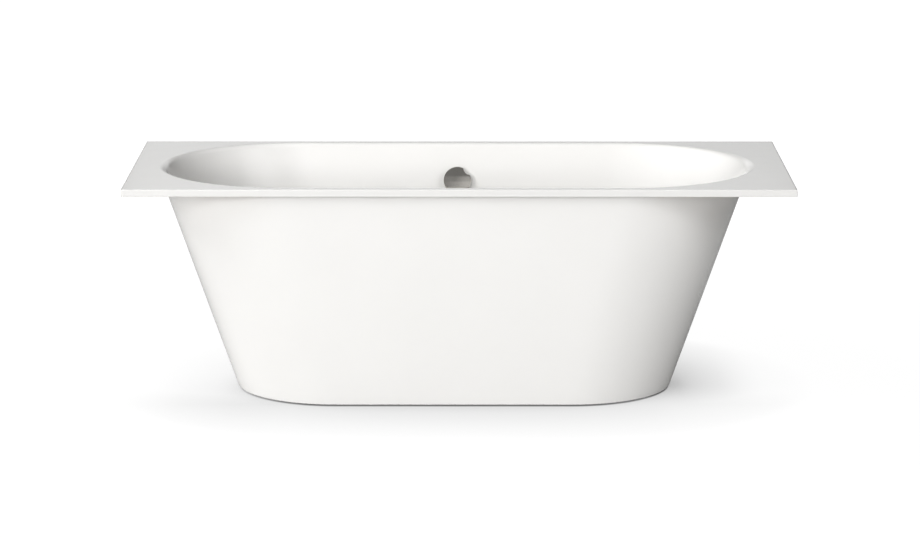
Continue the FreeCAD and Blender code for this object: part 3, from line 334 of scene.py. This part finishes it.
def rings_faces(n_rings, n, first=0, close_rings=False):
    faces = []
    for i in range(n_rings if close_rings else n_rings - 1):
        a = first + i * n
        c = first + ((i + 1) % n_rings) * n
        for j in range(n):
            k = (j + 1) % n
            faces.append((a + j, a + k, c + k, c + j))
    return faces


def lathe(name, profile, mat, seg=72, frame_m=None, closed=True, sharp=35):
    """Turn a closed (radius, height) outline about Z; radius 0 makes a pole."""
    verts, rows = [], []
    for r, z in profile:
        if r < 1e-6:
            rows.append([len(verts)] * seg)
            verts.append((0, 0, z))
        else:
            rows.append(list(range(len(verts), len(verts) + seg)))
            verts += [(r * math.cos(2 * math.pi * j / seg), r * math.sin(2 * math.pi * j / seg), z)
                      for j in range(seg)]
    faces = []
    n = len(rows)
    for i in range(n if closed else n - 1):
        a, c = rows[i], rows[(i + 1) % n]
        if a[0] == a[1] and c[0] == c[1]:
            continue
        for j in range(seg):
            k = (j + 1) % seg
            f = [a[j], a[k], c[k], c[j]]
            g = []
            for x in f:
                if x not in g:
                    g.append(x)
            if len(g) > 2:
                faces.append(tuple(g))
    if frame_m is not None:
        verts = [tuple(frame_m @ Vector(v)) for v in verts]
    ob = make(name, verts, faces, [mat])
    sharpen(ob, sharp)
    return ob


# ------------------------------------------------------- the basin and flange
XB, ZF, H, TH = -6.0, 165.0, 586.5, 5.0
LT, RT, LF, RF = 763.5, 339.663121, 538.0, 245.0
RISE = H - ZF
R_S, L_S = (RT - RF) / RISE, (LT - LF) / RISE
A_S = L_S - R_S
FLOOR_R, RIM_END, RIM_SIDE = 90.0, 25.0, 15.0


def stations(n_arc, n_line):
    """Places round an oblong: ('e', side, angle) on an end, ('s', side, t) on a side."""
    out = []
    for i in range(n_arc):
        out.append(("e", 1, HALF * i / n_arc))
    for i in range(n_line):
        out.append(("s", 1, 1 - 2 * i / n_line))
    for i in range(2 * n_arc):
        out.append(("e", -1, HALF + math.pi * i / (2 * n_arc)))
    for i in range(n_line):
        out.append(("s", -1, -1 + 2 * i / n_line))
    for i in range(n_arc):
        out.append(("e", 1, 3 * HALF + HALF * i / n_arc))
    return out


def oblong_point(st, x0, half, rad, off):
    kind, side, val = st
    a = half - rad
    if kind == "e":
        return (x0 + side * a + (rad + off) * math.cos(val), (rad + off) * math.sin(val))
    return (x0 + val * a, side * (rad + off))


def basin_point(st, d, z):
    """A point d out from the rim line and at height z, in the section at st."""
    slope = wall_slope(st)
    drop = H - z
    x, y = oblong_point(st, XB, LT - L_S * drop, RT - R_S * drop, d + slope * drop)
    return (x, y, z)


def wall_slope(st):
    return R_S + A_S * abs(math.cos(st[2])) if st[0] == "e" else R_S


def rim_radius(st):
    if st[0] == "s":
        return RIM_SIDE
    ang = abs(math.asin(max(-1.0, min(1.0, math.sin(st[2])))))
    return RIM_SIDE + (RIM_END - RIM_SIDE) * (1 - ang / HALF)


def basin_section(st, sheet):
    """The section from the flat flange to the flat floor: (d, z) points of the
    upper face (sheet 0) or of the lower face (sheet TH)."""
    s = wall_slope(st)
    lean = math.atan(s)
    r = rim_radius(st)
    tmax = HALF - lean
    t1 = r * math.tan(tmax / 2)
    pts = []
    rr = r - sheet
    for k in range(17):
        th = tmax * k / 16
        pts.append((t1 - rr * math.sin(th), H - r + rr * math.cos(th)))
    d_f = -s * RISE
    t2 = FLOOR_R * math.tan(tmax / 2)
    cx, cz = d_f - t2, ZF + FLOOR_R
    fr = FLOOR_R + sheet
    arc = [(cx + fr * math.sin(tmax * (1 - k / 20)), cz - fr * math.cos(tmax * (1 - k / 20))) for k in range(21)]
    a, b = pts[-1], arc[0]
    for k in range(1, 12):
        f = k / 12
        pts.append((a[0] + (b[0] - a[0]) * f, a[1] + (b[1] - a[1]) * f))
    return pts + arc


def flange_point(st, inset, z):
    """A point on the rectangle of the flange, moved in by inset."""
    ha, hb = 850.0 - inset, 375.0 - inset
    rc = max(2.5 - inset, 0.4)
    kind, side, val = st
    if kind == "s":
        return (XB + val * (LT - RT), side * hb, z)
    sx = 1 if math.cos(val) >= -1e-9 and side > 0 else -1
    sy = 1 if math.sin(val) >= 0 else -1
    ang = abs(math.asin(max(-1.0, min(1.0, math.sin(val))))) / HALF
    x_end = sx * XB + (LT - RT)
    lo, hi = 0.42, 0.58
    if ang <= lo:
        x, y = ha, (hb - rc) * ang / lo
    elif ang < hi:
        t = HALF * (ang - lo) / (hi - lo)
        x, y = ha - rc + rc * math.cos(t), hb - rc + rc * math.sin(t)
    else:
        f = (ang - hi) / (1 - hi)
        x, y = (ha - rc) * (1 - f) + x_end * f, hb
    return (sx * x, sy * y, z)


def build_bath():
    sts = stations(50, 30)
    n = len(sts)
    # angle of each station as seen from the drain, for the round seat
    ang = []
    for st in sts:
        x, y = oblong_point(st, 0, 483, 173, 0)
        ang.append(math.atan2(y, x * 0.55))
    rings, mats = [], []

    def flat(z, inset, mat):
        rings.append([flange_point(st, inset, z) for st in sts])
        mats.append(mat)

    def round_ring(r, z, mat):
        rings.append([(XB + r * math.cos(a), r * math.sin(a), z) for a in ang])
        mats.append(mat)

    # from the drain hole up the basin, over the rim, the flange and the lip
    seat = ZF - 4
    round_ring(26, seat - 4.6, 0)
    round_ring(26, seat - 0.4, 0)
    round_ring(26.4, seat, 0)
    round_ring(39.2, seat, 0)
    round_ring(39.8, seat + 0.3, 0)
    round_ring(40, seat + 0.9, 0)
    round_ring(40, ZF - 1.6, 0)
    round_ring(40.5, ZF - 0.5, 0)
    round_ring(41.6, ZF, 0)
    round_ring(60, ZF, 0)
    upper = [basin_section(st, 0.0) for st in sts]
    for k in range(len(upper[0]) - 1, -1, -1):
        rings.append([basin_point(st, *upper[i][k]) for i, st in enumerate(sts)])
        mats.append(0)
    bev = 3.0
    for k in range(7):
        t = HALF * k / 6
        flat(H - bev + bev * math.cos(t), bev - bev * math.sin(t), 0)
    low = H - 18.0
    flat(low + 0.9, 0.0, 0)
    flat(low + 0.25, 0.25, 0)
    flat(low, 0.9, 0)
    flat(low, TH - 0.9, 1)
    flat(low + 0.25, TH - 0.25, 1)
    flat(low + 0.9, TH, 1)
    flat(H - TH - 3, TH, 1)
    flat(H - TH - 0.9, TH + 0.9, 1)
    flat(H - TH, TH + 3, 1)
    lower = [basin_section(st, TH) for st in sts]
    for k in range(len(lower[0])):
        rings.append([basin_point(st, *lower[i][k]) for i, st in enumerate(sts)])
        mats.append(1)
    round_ring(60, ZF - TH, 1)
    round_ring(47.5, ZF - TH, 1)
    round_ring(46.3, ZF - TH - 0.4, 1)
    round_ring(46, ZF - TH - 1.2, 1)
    round_ring(46, seat - TH + 0.6, 1)
    round_ring(45.4, seat - TH, 1)
    round_ring(26.3, seat - TH, 1)
    verts = [p for r in rings for p in r]
    faces = rings_faces(len(rings), n, close_rings=True)
    ids = []
    for i in range(len(rings)):
        ids += [mats[i] if mats[i] == mats[(i + 1) % len(rings)] else mats[i]] * n
    ob = make("bath_tub_shell", verts, faces, [MAT["acrylic_white"], MAT["backing"]], ids)
    return ob


LEAN = math.atan(R_S)
OVER = Matrix.Translation((XB, RF + R_S * (487.5 - ZF), 487.5)) @ Matrix.Rotation(HALF - LEAN, 4, "X")

bath = build_bath()
hole = lathe("over_cut", [(0, -40), (27, -40), (27, 40), (0, 40)], MAT["acrylic_white"], 64, OVER)
cut_with(bath, hole)
sharpen(bath, 40)
even_normals(bath)
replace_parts(bath, "bath_shell")
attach(bath, "tub")

# ------------------------------------------------------------------ the skirt
XS, SG, SC, ST = -14.5, 5.0, 530.0, 573.5
SLB, SRB, SLC, SLT, SRT, STH = 570.0, 265.0, 753.77, 777.5, 353.9, 4.5


def build_skirt():
    sts = stations(50, 30)
    n = len(sts)
    sl, sc, sr = (SLC - SLB) / (SC - SG), (SLT - SLC) / (ST - SC), (SRT - SRB) / (ST - SG)
    soft_z = 16.0

    def half_at(z):
        """Half length and end slope at height z; the bend of the flare is eased."""
        if z < SC - soft_z:
            return SLB + sl * (z - SG), sl
        if z > SC + soft_z:
            return SLC + sc * (z - SC), sc
        f = (z - SC + soft_z) / (2 * soft_z)
        return SLC - sl * soft_z + sl * 2 * soft_z * f + (sc - sl) * soft_z * f * f, sl + (sc - sl) * f

    def ring(z, frac):
        """frac 0 is the outer face, 1 the inner one."""
        half, slope = half_at(z)
        row = []
        for st in sts:
            s = sr + (slope - sr) * abs(math.cos(st[2])) if st[0] == "e" else sr
            off = -frac * STH * math.sqrt(1 + s * s)
            x, y = oblong_point(st, XS, half, SRB + sr * (z - SG), off)
            row.append((x, y, z))
        return row

    heights = [SG + (SC - soft_z - SG) * k / 20 for k in range(1, 21)]
    heights += [SC - soft_z + 2 * soft_z * k / 8 for k in range(1, 9)]
    heights += [SC + soft_z + (ST - SC - soft_z) * k / 3 for k in range(1, 4)]
    rings, mats = [], []
    for z, f, m in ((SG + 1.8, 0, 0), (SG + 0.55, 0.12, 0), (SG, 0.4, 0), (SG, 0.8, 1), (SG + 0.6, 1, 1)):
        rings.append(ring(z, f))
        mats.append(m)
    for z in heights:
        rings.append(ring(z, 1))
        mats.append(1)
    for z in reversed(heights):
        rings.append(ring(z, 0))
        mats.append(0)
    verts = [p for r in rings for p in r]
    faces = rings_faces(len(rings), n, close_rings=True)
    ids = []
    for i in range(len(rings)):
        ids += [mats[i] if mats[i] == mats[(i + 1) % len(rings)] else 1] * n
    return make("tapered_skirt", verts, faces, [MAT["acrylic_white"], MAT["backing"]], ids)


def rounded_slab(name, x0, x1, z0, z1, r, y0, y1):
    pts = [(x0, z0), (x1, z0)]
    for k in range(13):
        t = HALF * k / 12
        pts.append((x1 - r + r * math.cos(t), z1 - r + r * math.sin(t)))
    for k in range(13):
        t = HALF + HALF * k / 12
        pts.append((x0 + r + r * math.cos(t), z1 - r + r * math.sin(t)))
    n = len(pts)
    verts = [(x, y0, z) for x, z in pts] + [(x, y1, z) for x, z in pts]
    faces = [tuple(range(n))[::-1], tuple(range(n, 2 * n))]
    for j in range(n):
        k = (j + 1) % n
        faces.append((j, k, n + k, n + j))
    return make(name, verts, faces, [MAT["backing"]])


skirt = build_skirt()
cut_with(skirt, rounded_slab("slot_cut", 24 - 76, 24 + 76, -30, 548, 36, 30, 450))
sharpen(skirt, 40)
even_normals(skirt)
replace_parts(skirt, "outer_skirt")
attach(skirt, "tub")


# ---------------------------------------------------------- overflow and knob
def knob_outline(inset, steps=96):
    """Outline of the knob with its finger notch, moved in by inset."""
    rk, rn, rf = 37.0 - inset, 18.0 + inset, 4.5
    ang = math.radians(44)
    off = 37.0 + 18.0 - 7.0
    # centre of the corner rounding, from the two arcs that it joins
    a, b, c = 37.0 - rf, off, 18.0 + rf
    turn = math.acos((a * a + b * b - c * c) / (2 * a * b))
    pts = []
    rf2 = max(rf - inset, 0.05)
    nc = Vector((off * math.cos(ang), off * math.sin(ang)))
    c1 = Vector((a * math.cos(ang + turn), a * math.sin(ang + turn)))
    c2 = Vector((a * math.cos(ang - turn), a * math.sin(ang - turn)))
    start, stop = ang + turn, ang - turn + 2 * math.pi
    for k in range(steps + 1):
        t = start + (stop - start) * k / steps
        pts.append((rk * math.cos(t), rk * math.sin(t)))

    def corner(centre, t0, t1):
        while t1 - t0 > math.pi:
            t1 -= 2 * math.pi
        while t1 - t0 < -math.pi:
            t1 += 2 * math.pi
        return [(centre.x + rf2 * math.cos(t0 + (t1 - t0) * k / 8),
                 centre.y + rf2 * math.sin(t0 + (t1 - t0) * k / 8)) for k in range(1, 8)]

    d2, d1 = nc - c2, nc - c1
    pts += corner(c2, stop, math.atan2(d2.y, d2.x))
    t0, t1 = math.atan2(-d2.y, -d2.x), math.atan2(-d1.y, -d1.x)
    while t1 - t0 > math.pi:
        t1 -= 2 * math.pi
    while t1 - t0 < -math.pi:
        t1 += 2 * math.pi
    for k in range(25):
        t = t0 + (t1 - t0) * k / 24
        pts.append((nc.x + rn * math.cos(t), nc.y + rn * math.sin(t)))
    pts += corner(c1, math.atan2(d1.y, d1.x), start)
    return pts


def build_knob():
    rings = []
    n = len(knob_outline(0))

    def outline(inset, w):
        rings.append([(x, y, w) for x, y in knob_outline(inset)])

    def circle_ring(r, w):
        base = knob_outline(0)
        rings.append([(r * math.cos(math.atan2(y, x)), r * math.sin(math.atan2(y, x)), w) for x, y in base])

    front, back = 22.0, 8.0
    # hollow back: hub bore, hub, hollow, rim
    circle_ring(0.5, front - 2.0)
    circle_ring(5.05, front - 2.0)
    circle_ring(5.05, back - 0.7)
    circle_ring(5.6, back - 1.0)
    circle_ring(9.6, back - 1.0)
    circle_ring(10.0, back - 0.6)
    circle_ring(10.0, front - 8.4)
    circle_ring(10.6, front - 8.0)
    circle_ring(25.2, front - 8.0)
    circle_ring(26.0, front - 8.6)
    circle_ring(26.0, back + 0.5)
    circle_ring(26.5, back)
    outline(1.0, back)
    outline(0.3, back + 0.3)
    outline(0.0, back + 1.0)
    bev = 1.5
    rim = knob_outline(bev)

    def crown(x, y):
        """Height of the slightly domed face."""
        return front + 1.6 * max(0.0, 1 - (x * x + y * y) / 35.5 ** 2)

    for k in range(7):
        t = HALF * k / 6
        row = knob_outline(bev - bev * math.cos(t))
        rings.append([(x, y, crown(*e) - bev + bev * math.sin(t)) for (x, y), e in zip(row, rim)])
    for s in (0.96, 0.90, 0.82, 0.72, 0.60, 0.48, 0.36, 0.22, 0.10, 0.02):
        rings.append([(x * s, y * s, crown(x * s, y * s)) for x, y in rim])
    verts = [tuple(OVER @ Vector(p)) for r in rings for p in r]
    faces = rings_faces(len(rings), n)
    last = (len(rings) - 1) * n
    faces.append(tuple(range(last, last + n)))
    faces.append(tuple(range(n))[::-1])
    ob = make("overflow_knob_turned", verts, faces, [MAT["chrome"]])
    sharpen(ob, 50)
    return ob


knob = build_knob()
grub = lathe("grub_cut", [(0, 8), (2.5, 8), (2.5, 50), (0, 50)], MAT["chrome"], 24,
             OVER @ Matrix.Translation((0, 0, 17)) @ Matrix.Rotation(HALF, 4, "X"))
cut_with(knob, grub)
sharpen(knob, 50)
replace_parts(knob, "overflow_knob")
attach(knob, "knob")


def put(ob, body, slot, *replaced):
    if replaced:
        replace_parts(ob, *replaced)
    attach(ob, body)
    return ob


# ------------------------------------------------------------- plug and waste
PL = 168.2
AT_DRAIN = Matrix.Translation((XB, 0, 0))


def dome(z, steps=14):
    """The polished crown of the plug, from its edge to its middle."""
    pts = []
    for k in range(steps + 1):
        f = k / steps
        r = 29.2 * (1 - f)
        pts.append((r, z + 2.6 + 3.2 * (1 - (r / 29.2) ** 2)))
    return pts


plug_cap = lathe("plug_cap_turned",
                 [(4.06, PL - 10), (8.6, PL - 10), (9, PL - 9.6), (9, PL - 5.4), (9.4, PL - 5), (18.2, PL - 5),
                  (18.5, PL - 4.7), (18.5, PL - 0.4), (18.9, PL), (28.3, PL), (29.3, PL + 0.3), (29.85, PL + 0.9),
                  (29.9, PL + 1.5), (29.6, PL + 2.2)] + dome(PL) + [(0, PL - 2), (4.06, PL - 2)],
                 MAT["chrome"], 96, AT_DRAIN, closed=True, sharp=40)
put(plug_cap, "plug", "chrome", "plug_cap")


# ------------------------------------------------------------- levelling feet
def threaded(name, x, y, low, top):
    """A right-hand M12 thread on a stem with a hexagon flange near its foot."""
    pitch, crest, root, seg = 1.75, 5.98, 5.1, 30
    z0, z1 = low + 20.5, top - 1.5
    rings = []

    def ring(fn, z):
        rings.append([(x + fn(t) * math.cos(t), y + fn(t) * math.sin(t), z)
                      for t in (2 * math.pi * j / seg for j in range(seg))])

    def hexa(r):
        def at(t):
            a = (t + math.pi / 6) % (math.pi / 3) - math.pi / 6
            return r * math.cos(math.pi / 6) / math.cos(a)
        return at

    def helix(z):
        fade = min(1.0, (z - z0) / pitch, (z1 - z) / pitch)

        def at(t):
            f = (z / pitch - t / (2 * math.pi)) % 1.0
            up = max(0.0, min(1.0, 1.35 - 3.1 * abs(f - 0.5)))
            return root + (crest - root) * up * fade
        return at

    ring(lambda t: 1.5, low)
    ring(lambda t: 5.0, low)
    ring(lambda t: 5.8, low + 0.8)
    ring(lambda t: 5.8, low + 12.0)
    ring(hexa(9.0), low + 12.0)
    ring(hexa(9.7), low + 12.7)
    ring(hexa(9.7), low + 18.3)
    ring(hexa(9.0), low + 19.0)
    ring(lambda t: root, low + 19.0)
    steps = int((z1 - z0) / pitch * 8)
    for k in range(steps + 1):
        z = z0 + (z1 - z0) * k / steps
        ring(helix(z), z)
    ring(lambda t: root, top - 0.9)
    ring(lambda t: root - 0.8, top)
    ring(lambda t: 1.5, top)
    verts = [p for r in rings for p in r]
    faces = rings_faces(len(rings), seg)
    faces.append(tuple(range(seg))[::-1])
    faces.append(tuple(range(len(verts) - seg, len(verts))))
    ob = make(name, verts, faces, [MAT["zinc_steel"]])
    sharpen(ob, 38)
    return ob


def foot_pad(name, x, y):
    """A round moulded foot with spokes on its upper side and a socket."""
    seg, spokes = 120, 10
    outline = [(1.0, 0.6), (6.0, 0.6), (21.5, 0.6), (22.2, 0.0), (24.0, 0.0), (25.3, 0.5), (26, 1.6), (26, 7.2), (25.6, 7.9),
               (25.0, 8.3), (23.0, 8.9), (20.5, 9.9), (18.0, 10.9), (15.6, 12.0), (14.2, 12.9), (12.6, 14.3), (11.0, 16.4),
               (10.2, 17.4), (9.4, 18.0), (6.6, 18.0), (6.06, 17.4), (6.06, 6.0), (1.0, 6.0)]
    verts = []
    for r, z in outline:
        for j in range(seg):
            t = 2 * math.pi * j / seg
            lift = 0.0
            if 8.5 <= z <= 15.0:
                f = (j * spokes / seg) % 1.0
                f = min(f, 1 - f)
                lift = 1.5 * max(0.0, min(1.0, 2.0 - f * 16)) * min(1.0, (z - 8.2) / 1.2)
            verts.append((x + r * math.cos(t), y + r * math.sin(t), z + lift))
    faces = rings_faces(len(outline), seg)
    faces.append(tuple(range(seg))[::-1])
    faces.append(tuple(range(len(verts) - seg, len(verts))))
    ob = make(name, verts, faces, [MAT["foot_plastic"]])
    sharpen(ob, 45)
    return ob


for side, fx in (("left", -306.0), ("right", 294.0)):
    for face, fy in (("front", -190.0), ("rear", 190.0)):
        tag = face + "_" + side
        put(threaded("threaded_foot_stem_" + tag, fx, fy, 6.3, 156.0), "screw_" + tag, "zinc_steel", "foot_spindle_" + tag)
        put(foot_pad("moulded_foot_" + tag, fx, fy), "pad_" + tag, "foot_plastic", "foot_pad_" + tag)


# ------------------------------------------------------ grip ribs of the nuts
def nut_ribs(name, x, z0, z1, apothem):
    """Half-round grip ribs on the eight flats of a plastic nut."""
    verts, faces = [], []
    for flat in range(8):
        a = math.pi / 8 + flat * math.pi / 4
        for off in (-7.0, -3.5, 0.0, 3.5, 7.0):
            base = len(verts)
            for z, s in ((z0 + 1.6, 0.35), (z0 + 2.6, 1.0), (z1 - 2.6, 1.0), (z1 - 1.6, 0.35)):
                for k in range(7):
                    t = math.pi * k / 6
                    u, w = off + 1.1 * math.cos(t), apothem - 0.25 + s * 1.15 * math.sin(t)
                    verts.append((x + w * math.cos(a) - u * math.sin(a), w * math.sin(a) + u * math.cos(a), z))
            for i in range(3):
                for k in range(6):
                    p = base + i * 7 + k
                    faces.append((p, p + 1, p + 8, p + 7))
                faces.append((base + i * 7 + 6, base + i * 7, base + i * 7 + 7, base + i * 7 + 13))
            faces.append(tuple(range(base, base + 7)))
            faces.append(tuple(range(base + 21, base + 28))[::-1])
    ob = make(name, verts, faces, [MAT["nut_plastic"]])
    sharpen(ob, 50)
    return put(ob, "tub", "nut_plastic")


FLAT = 29 * math.cos(math.pi / 8)
nut_ribs("inlet_nut_ribs", XB, 72.0, 90.0, FLAT)
nut_ribs("outlet_nut_ribs", 66.0, 66.0, 84.0, FLAT)

# ----------------------------------------------- softened edges on CAD nodes
stood_for = set()
for ob in bpy.context.scene.objects:
    if "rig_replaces" in ob:
        stood_for |= set(ob["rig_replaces"])
EDGE = {"base_board": 0.9, "cross_rail_left": 0.5, "cross_rail_right": 0.5, "skirt_brackets": 0.4,
        "rim_board_front_left": 0.8, "rim_board_front_right": 0.8, "rim_board_rear_left": 0.8,
        "rim_board_rear_right": 0.8, "trap_inlet_nut": 0.8, "trap_outlet_nut": 0.8, "foot_lock_nuts": 0.5,
        "foot_weld_nuts": 0.5, "bracket_bolts": 0.4, "rail_screws": 0.25, "lift_lever": 0.4, "pivot_saddle": 0.5,
        "stem_lock_nut": 0.3, "overflow_rosette": 0.4, "waste_flange": 0.3, "trap_outlet_pipe": 0.4,
        "waste_body": 0.5, "overflow_body": 0.5, "overflow_tee": 0.4, "rosette_screws": 0.15}
for name, obj in nodes.items():
    if name in stood_for:
        continue
    w = EDGE.get(name)
    if w:
        b = obj.modifiers.new("soft_edges", "BEVEL")
        b.width = w * MM
        b.segments = 2
        b.limit_method = "ANGLE"
        b.angle_limit = math.radians(38)
        b.use_clamp_overlap = True
        b.harden_normals = False

# ------------------------------------------------------------ floor and light
scene = bpy.context.scene
me = bpy.data.meshes.new("floor")
S = 40.0
me.from_pydata([(-S, -S, 0), (S, -S, 0), (S, S, 0), (-S, S, 0)], [], [(0, 1, 2, 3)])
floor = bpy.data.objects.new("floor", me)
scene.collection.objects.link(floor)
fm = bpy.data.materials.new("floor_pale")
fm.use_nodes = True
nt = fm.node_tree
nt.nodes.clear()
out = add(nt, "ShaderNodeOutputMaterial")
# the floor as seen: mostly an even white glow with a painted shadow that darkens where the tub covers the sky,
# worked out by an occlusion node and placed masks, with a part of the lamps' light on top
seen = add(nt, "ShaderNodeBsdfDiffuse")
seen.inputs["Color"].default_value = (0.06, 0.06, 0.06, 1)
ao = add(nt, "ShaderNodeAmbientOcclusion", samples=24)
ao.inputs["Distance"].default_value = 0.36
shade = ramp(nt, ao.outputs["AO"], [(0.0, (0.0, 0.0, 0.0)), (0.25, (0.26, 0.26, 0.26)), (0.42, (0.66, 0.66, 0.66)),
                                   (0.52, (0.765, 0.765, 0.765)), (0.62, (0.80, 0.80, 0.80)),
                                   (0.78, (0.865, 0.865, 0.865)), (0.95, (0.925, 0.925, 0.925)), (1.0, (0.97, 0.97, 0.97))])
tc = add(nt, "ShaderNodeTexCoord")
far = add(nt, "ShaderNodeVectorMath", operation="LENGTH")
nt.links.new(tc.outputs["Object"], far.inputs[0])
# the painted shadow is shorter beyond the ends, and weakest on the lit side
sep = add(nt, "ShaderNodeSeparateXYZ")
nt.links.new(tc.outputs["Object"], sep.inputs[0])
place = span(nt, sep.outputs[0], -1.0, 1.0, 0.0, 1.0)


def soft(value, lo, hi, a, b):
    r = span(nt, value, lo, hi, a, b)
    r.node.interpolation_type = "SMOOTHSTEP"
    return r


painted_shadow_strength = ramp(nt, place, [(0.10, (0.16, 0.16, 0.16)), (0.22, (0.30, 0.30, 0.30)), (0.30, (0.50, 0.50, 0.50)),
                         (0.75, (0.50, 0.50, 0.50)), (0.845, (0.36, 0.36, 0.36)), (0.885, (0.22, 0.22, 0.22)),
                         (0.95, (0.16, 0.16, 0.16))])
painted_shadow_strength = math_node(nt, "MAXIMUM", painted_shadow_strength, span(nt, sep.outputs[1], -0.24, 0.0, 0.46, 0.0))
# painted shadow patches close beside the left and right ends of the tub
near_left = ramp(nt, place, [(0.06, (0, 0, 0)), (0.14, (0.20, 0.20, 0.20)), (0.21, (0.16, 0.16, 0.16)), (0.30, (0, 0, 0))])
near_right = ramp(nt, place, [(0.74, (0, 0, 0)), (0.79, (0.42, 0.42, 0.42)), (0.845, (0.28, 0.28, 0.28)), (0.90, (0, 0, 0))])
painted_shadow_strength = math_node(nt, "ADD", painted_shadow_strength, math_node(nt, "MULTIPLY", near_left, soft(sep.outputs[1], -0.26, 0.14, 1.0, 0.0)))
painted_shadow_strength = math_node(nt, "ADD", painted_shadow_strength, math_node(nt, "MULTIPLY", near_right, soft(sep.outputs[1], -0.30, 0.0, 0.0, 1.0)))
# painted shadow: the glow's colour is lowered by the occlusion ramp times the placed strengths
painted_shadow_depth = math_node(nt, "MULTIPLY", math_node(nt, "SUBTRACT", 0.97, shade), math_node(nt, "MULTIPLY", painted_shadow_strength, 2.0))
floor_tone_with_painted_shadow = math_node(nt, "SUBTRACT", 0.97, painted_shadow_depth)
glow = add(nt, "ShaderNodeEmission")
nt.links.new(floor_tone_with_painted_shadow, glow.inputs["Color"])
nt.links.new(span(nt, far.outputs["Value"], 1.2, 3.2, 0.995, 1.1), glow.inputs["Strength"])
both = add(nt, "ShaderNodeAddShader")
dim = add(nt, "ShaderNodeBsdfDiffuse")
dim.inputs["Color"].default_value = (0.42, 0.42, 0.42, 1)
path = add(nt, "ShaderNodeLightPath")
pick = add(nt, "ShaderNodeMixShader")
nt.links.new(seen.outputs[0], both.inputs[0])
nt.links.new(glow.outputs[0], both.inputs[1])
nt.links.new(path.outputs["Is Camera Ray"], pick.inputs[0])
nt.links.new(dim.outputs[0], pick.inputs[1])
nt.links.new(both.outputs[0], pick.inputs[2])
nt.links.new(pick.outputs[0], out.inputs["Surface"])
me.materials.append(fm)

world = bpy.data.worlds.new("studio")
scene.world = world
world.use_nodes = True
nt = world.node_tree
nt.nodes.clear()
out = add(nt, "ShaderNodeOutputWorld")
tc = add(nt, "ShaderNodeTexCoord")
sep = add(nt, "ShaderNodeSeparateXYZ")
nt.links.new(tc.outputs["Generated"], sep.inputs[0])
X, Y, Z = sep.outputs
# dim all round, lighter low in front and overhead


ahead = soft(Y, -0.55, -0.15, 1.0, 0.0)
upper = math_node(nt, "MULTIPLY", soft(Z, 0.303, 0.328, 1.0, 0.0),
                  math_node(nt, "ADD", soft(X, -0.05, 0.15, 0.0, 0.19), 0.08))
lower = math_node(nt, "MULTIPLY", soft(Z, 0.231, 0.263, 1.0, 0.0),
                  math_node(nt, "ADD", soft(X, -0.17, 0.0, 0.0, 0.12), 0.025))
front = math_node(nt, "MULTIPLY", ahead, math_node(nt, "ADD", math_node(nt, "ADD", upper, lower), 0.16))
level = math_node(nt, "ADD", front, soft(Z, 0.5, 0.9, 0.043, 0.55))
mirrored = add(nt, "ShaderNodeBackground")
mirrored.inputs["Color"].default_value = (1, 1, 1, 1)
nt.links.new(level, mirrored.inputs["Strength"])
fill = add(nt, "ShaderNodeBackground")
fill.inputs["Color"].default_value = (1, 0.96, 0.88, 1)
fill.inputs["Strength"].default_value = 0.025
white = add(nt, "ShaderNodeBackground")
white.inputs["Color"].default_value = (1, 1, 1, 1)
white.inputs["Strength"].default_value = 1.1
path = add(nt, "ShaderNodeLightPath")
other = add(nt, "ShaderNodeMixShader")
nt.links.new(path.outputs["Is Glossy Ray"], other.inputs[0])
nt.links.new(fill.outputs[0], other.inputs[1])
nt.links.new(mirrored.outputs[0], other.inputs[2])
pick = add(nt, "ShaderNodeMixShader")
nt.links.new(path.outputs["Is Camera Ray"], pick.inputs[0])
nt.links.new(other.outputs[0], pick.inputs[1])
nt.links.new(white.outputs[0], pick.inputs[2])
nt.links.new(pick.outputs[0], out.inputs["Surface"])


def area(name, azimuth, elevation, power, mirrored=False, size=None):
    """A wide soft lamp 7 m from the tub; azimuth 0 is in front, positive to the right."""
    d = bpy.data.lights.new(name, "AREA")
    d.shape = "RECTANGLE"
    d.size, d.size_y = size or (3.2, 1.0 if elevation < 8 else 2.0)
    d.energy = power
    o = bpy.data.objects.new(name, d)
    scene.collection.objects.link(o)
    a, e = math.radians(azimuth), math.radians(elevation)
    way = Vector((math.sin(a) * math.cos(e), -math.cos(a) * math.cos(e), math.sin(e)))
    o.location = Vector((0, 0, 0.35)) + way * 7.0
    o.rotation_euler = (-way).to_track_quat("-Z", "Y").to_euler()
    o.visible_glossy = mirrored
    return o


area("front_left", -22.5, 14, 330, size=(4.6, 2.0))
area("front_left_high", -45, 28, 24)
area("left_high", -67.5, 48, 304, size=(6.0, 4.4))
area("left_low", -90, 4, 130)
area("left_low_rear", -112.5, 4, 62)
area("left_rear", -112.5, 28, 112)
area("right", 45, 28, 158)
area("right_low", 45, 4, 68)
area("rear", 180, 14, 13, True)
area("rear_upper", 180, 22, 4.4, True)
area("rear_low", 180, 4, 200)

# --------------------------------------------------------------------- camera
cam = bpy.data.cameras.new("camera")
cam.sensor_fit = "HORIZONTAL"
cam.sensor_width = 36.0
cam.lens = 137.66
cam.clip_end = 200.0
cam_ob = bpy.data.objects.new("camera", cam)
scene.collection.objects.link(cam_ob)
cam_ob.location = (0.01878, -9.0646, 2.1450)
cam_ob.rotation_euler = (HALF - 0.19995, 0, 0.001883)
scene.camera = cam_ob
scene.view_settings.view_transform = "Standard"
scene.view_settings.look = "None"
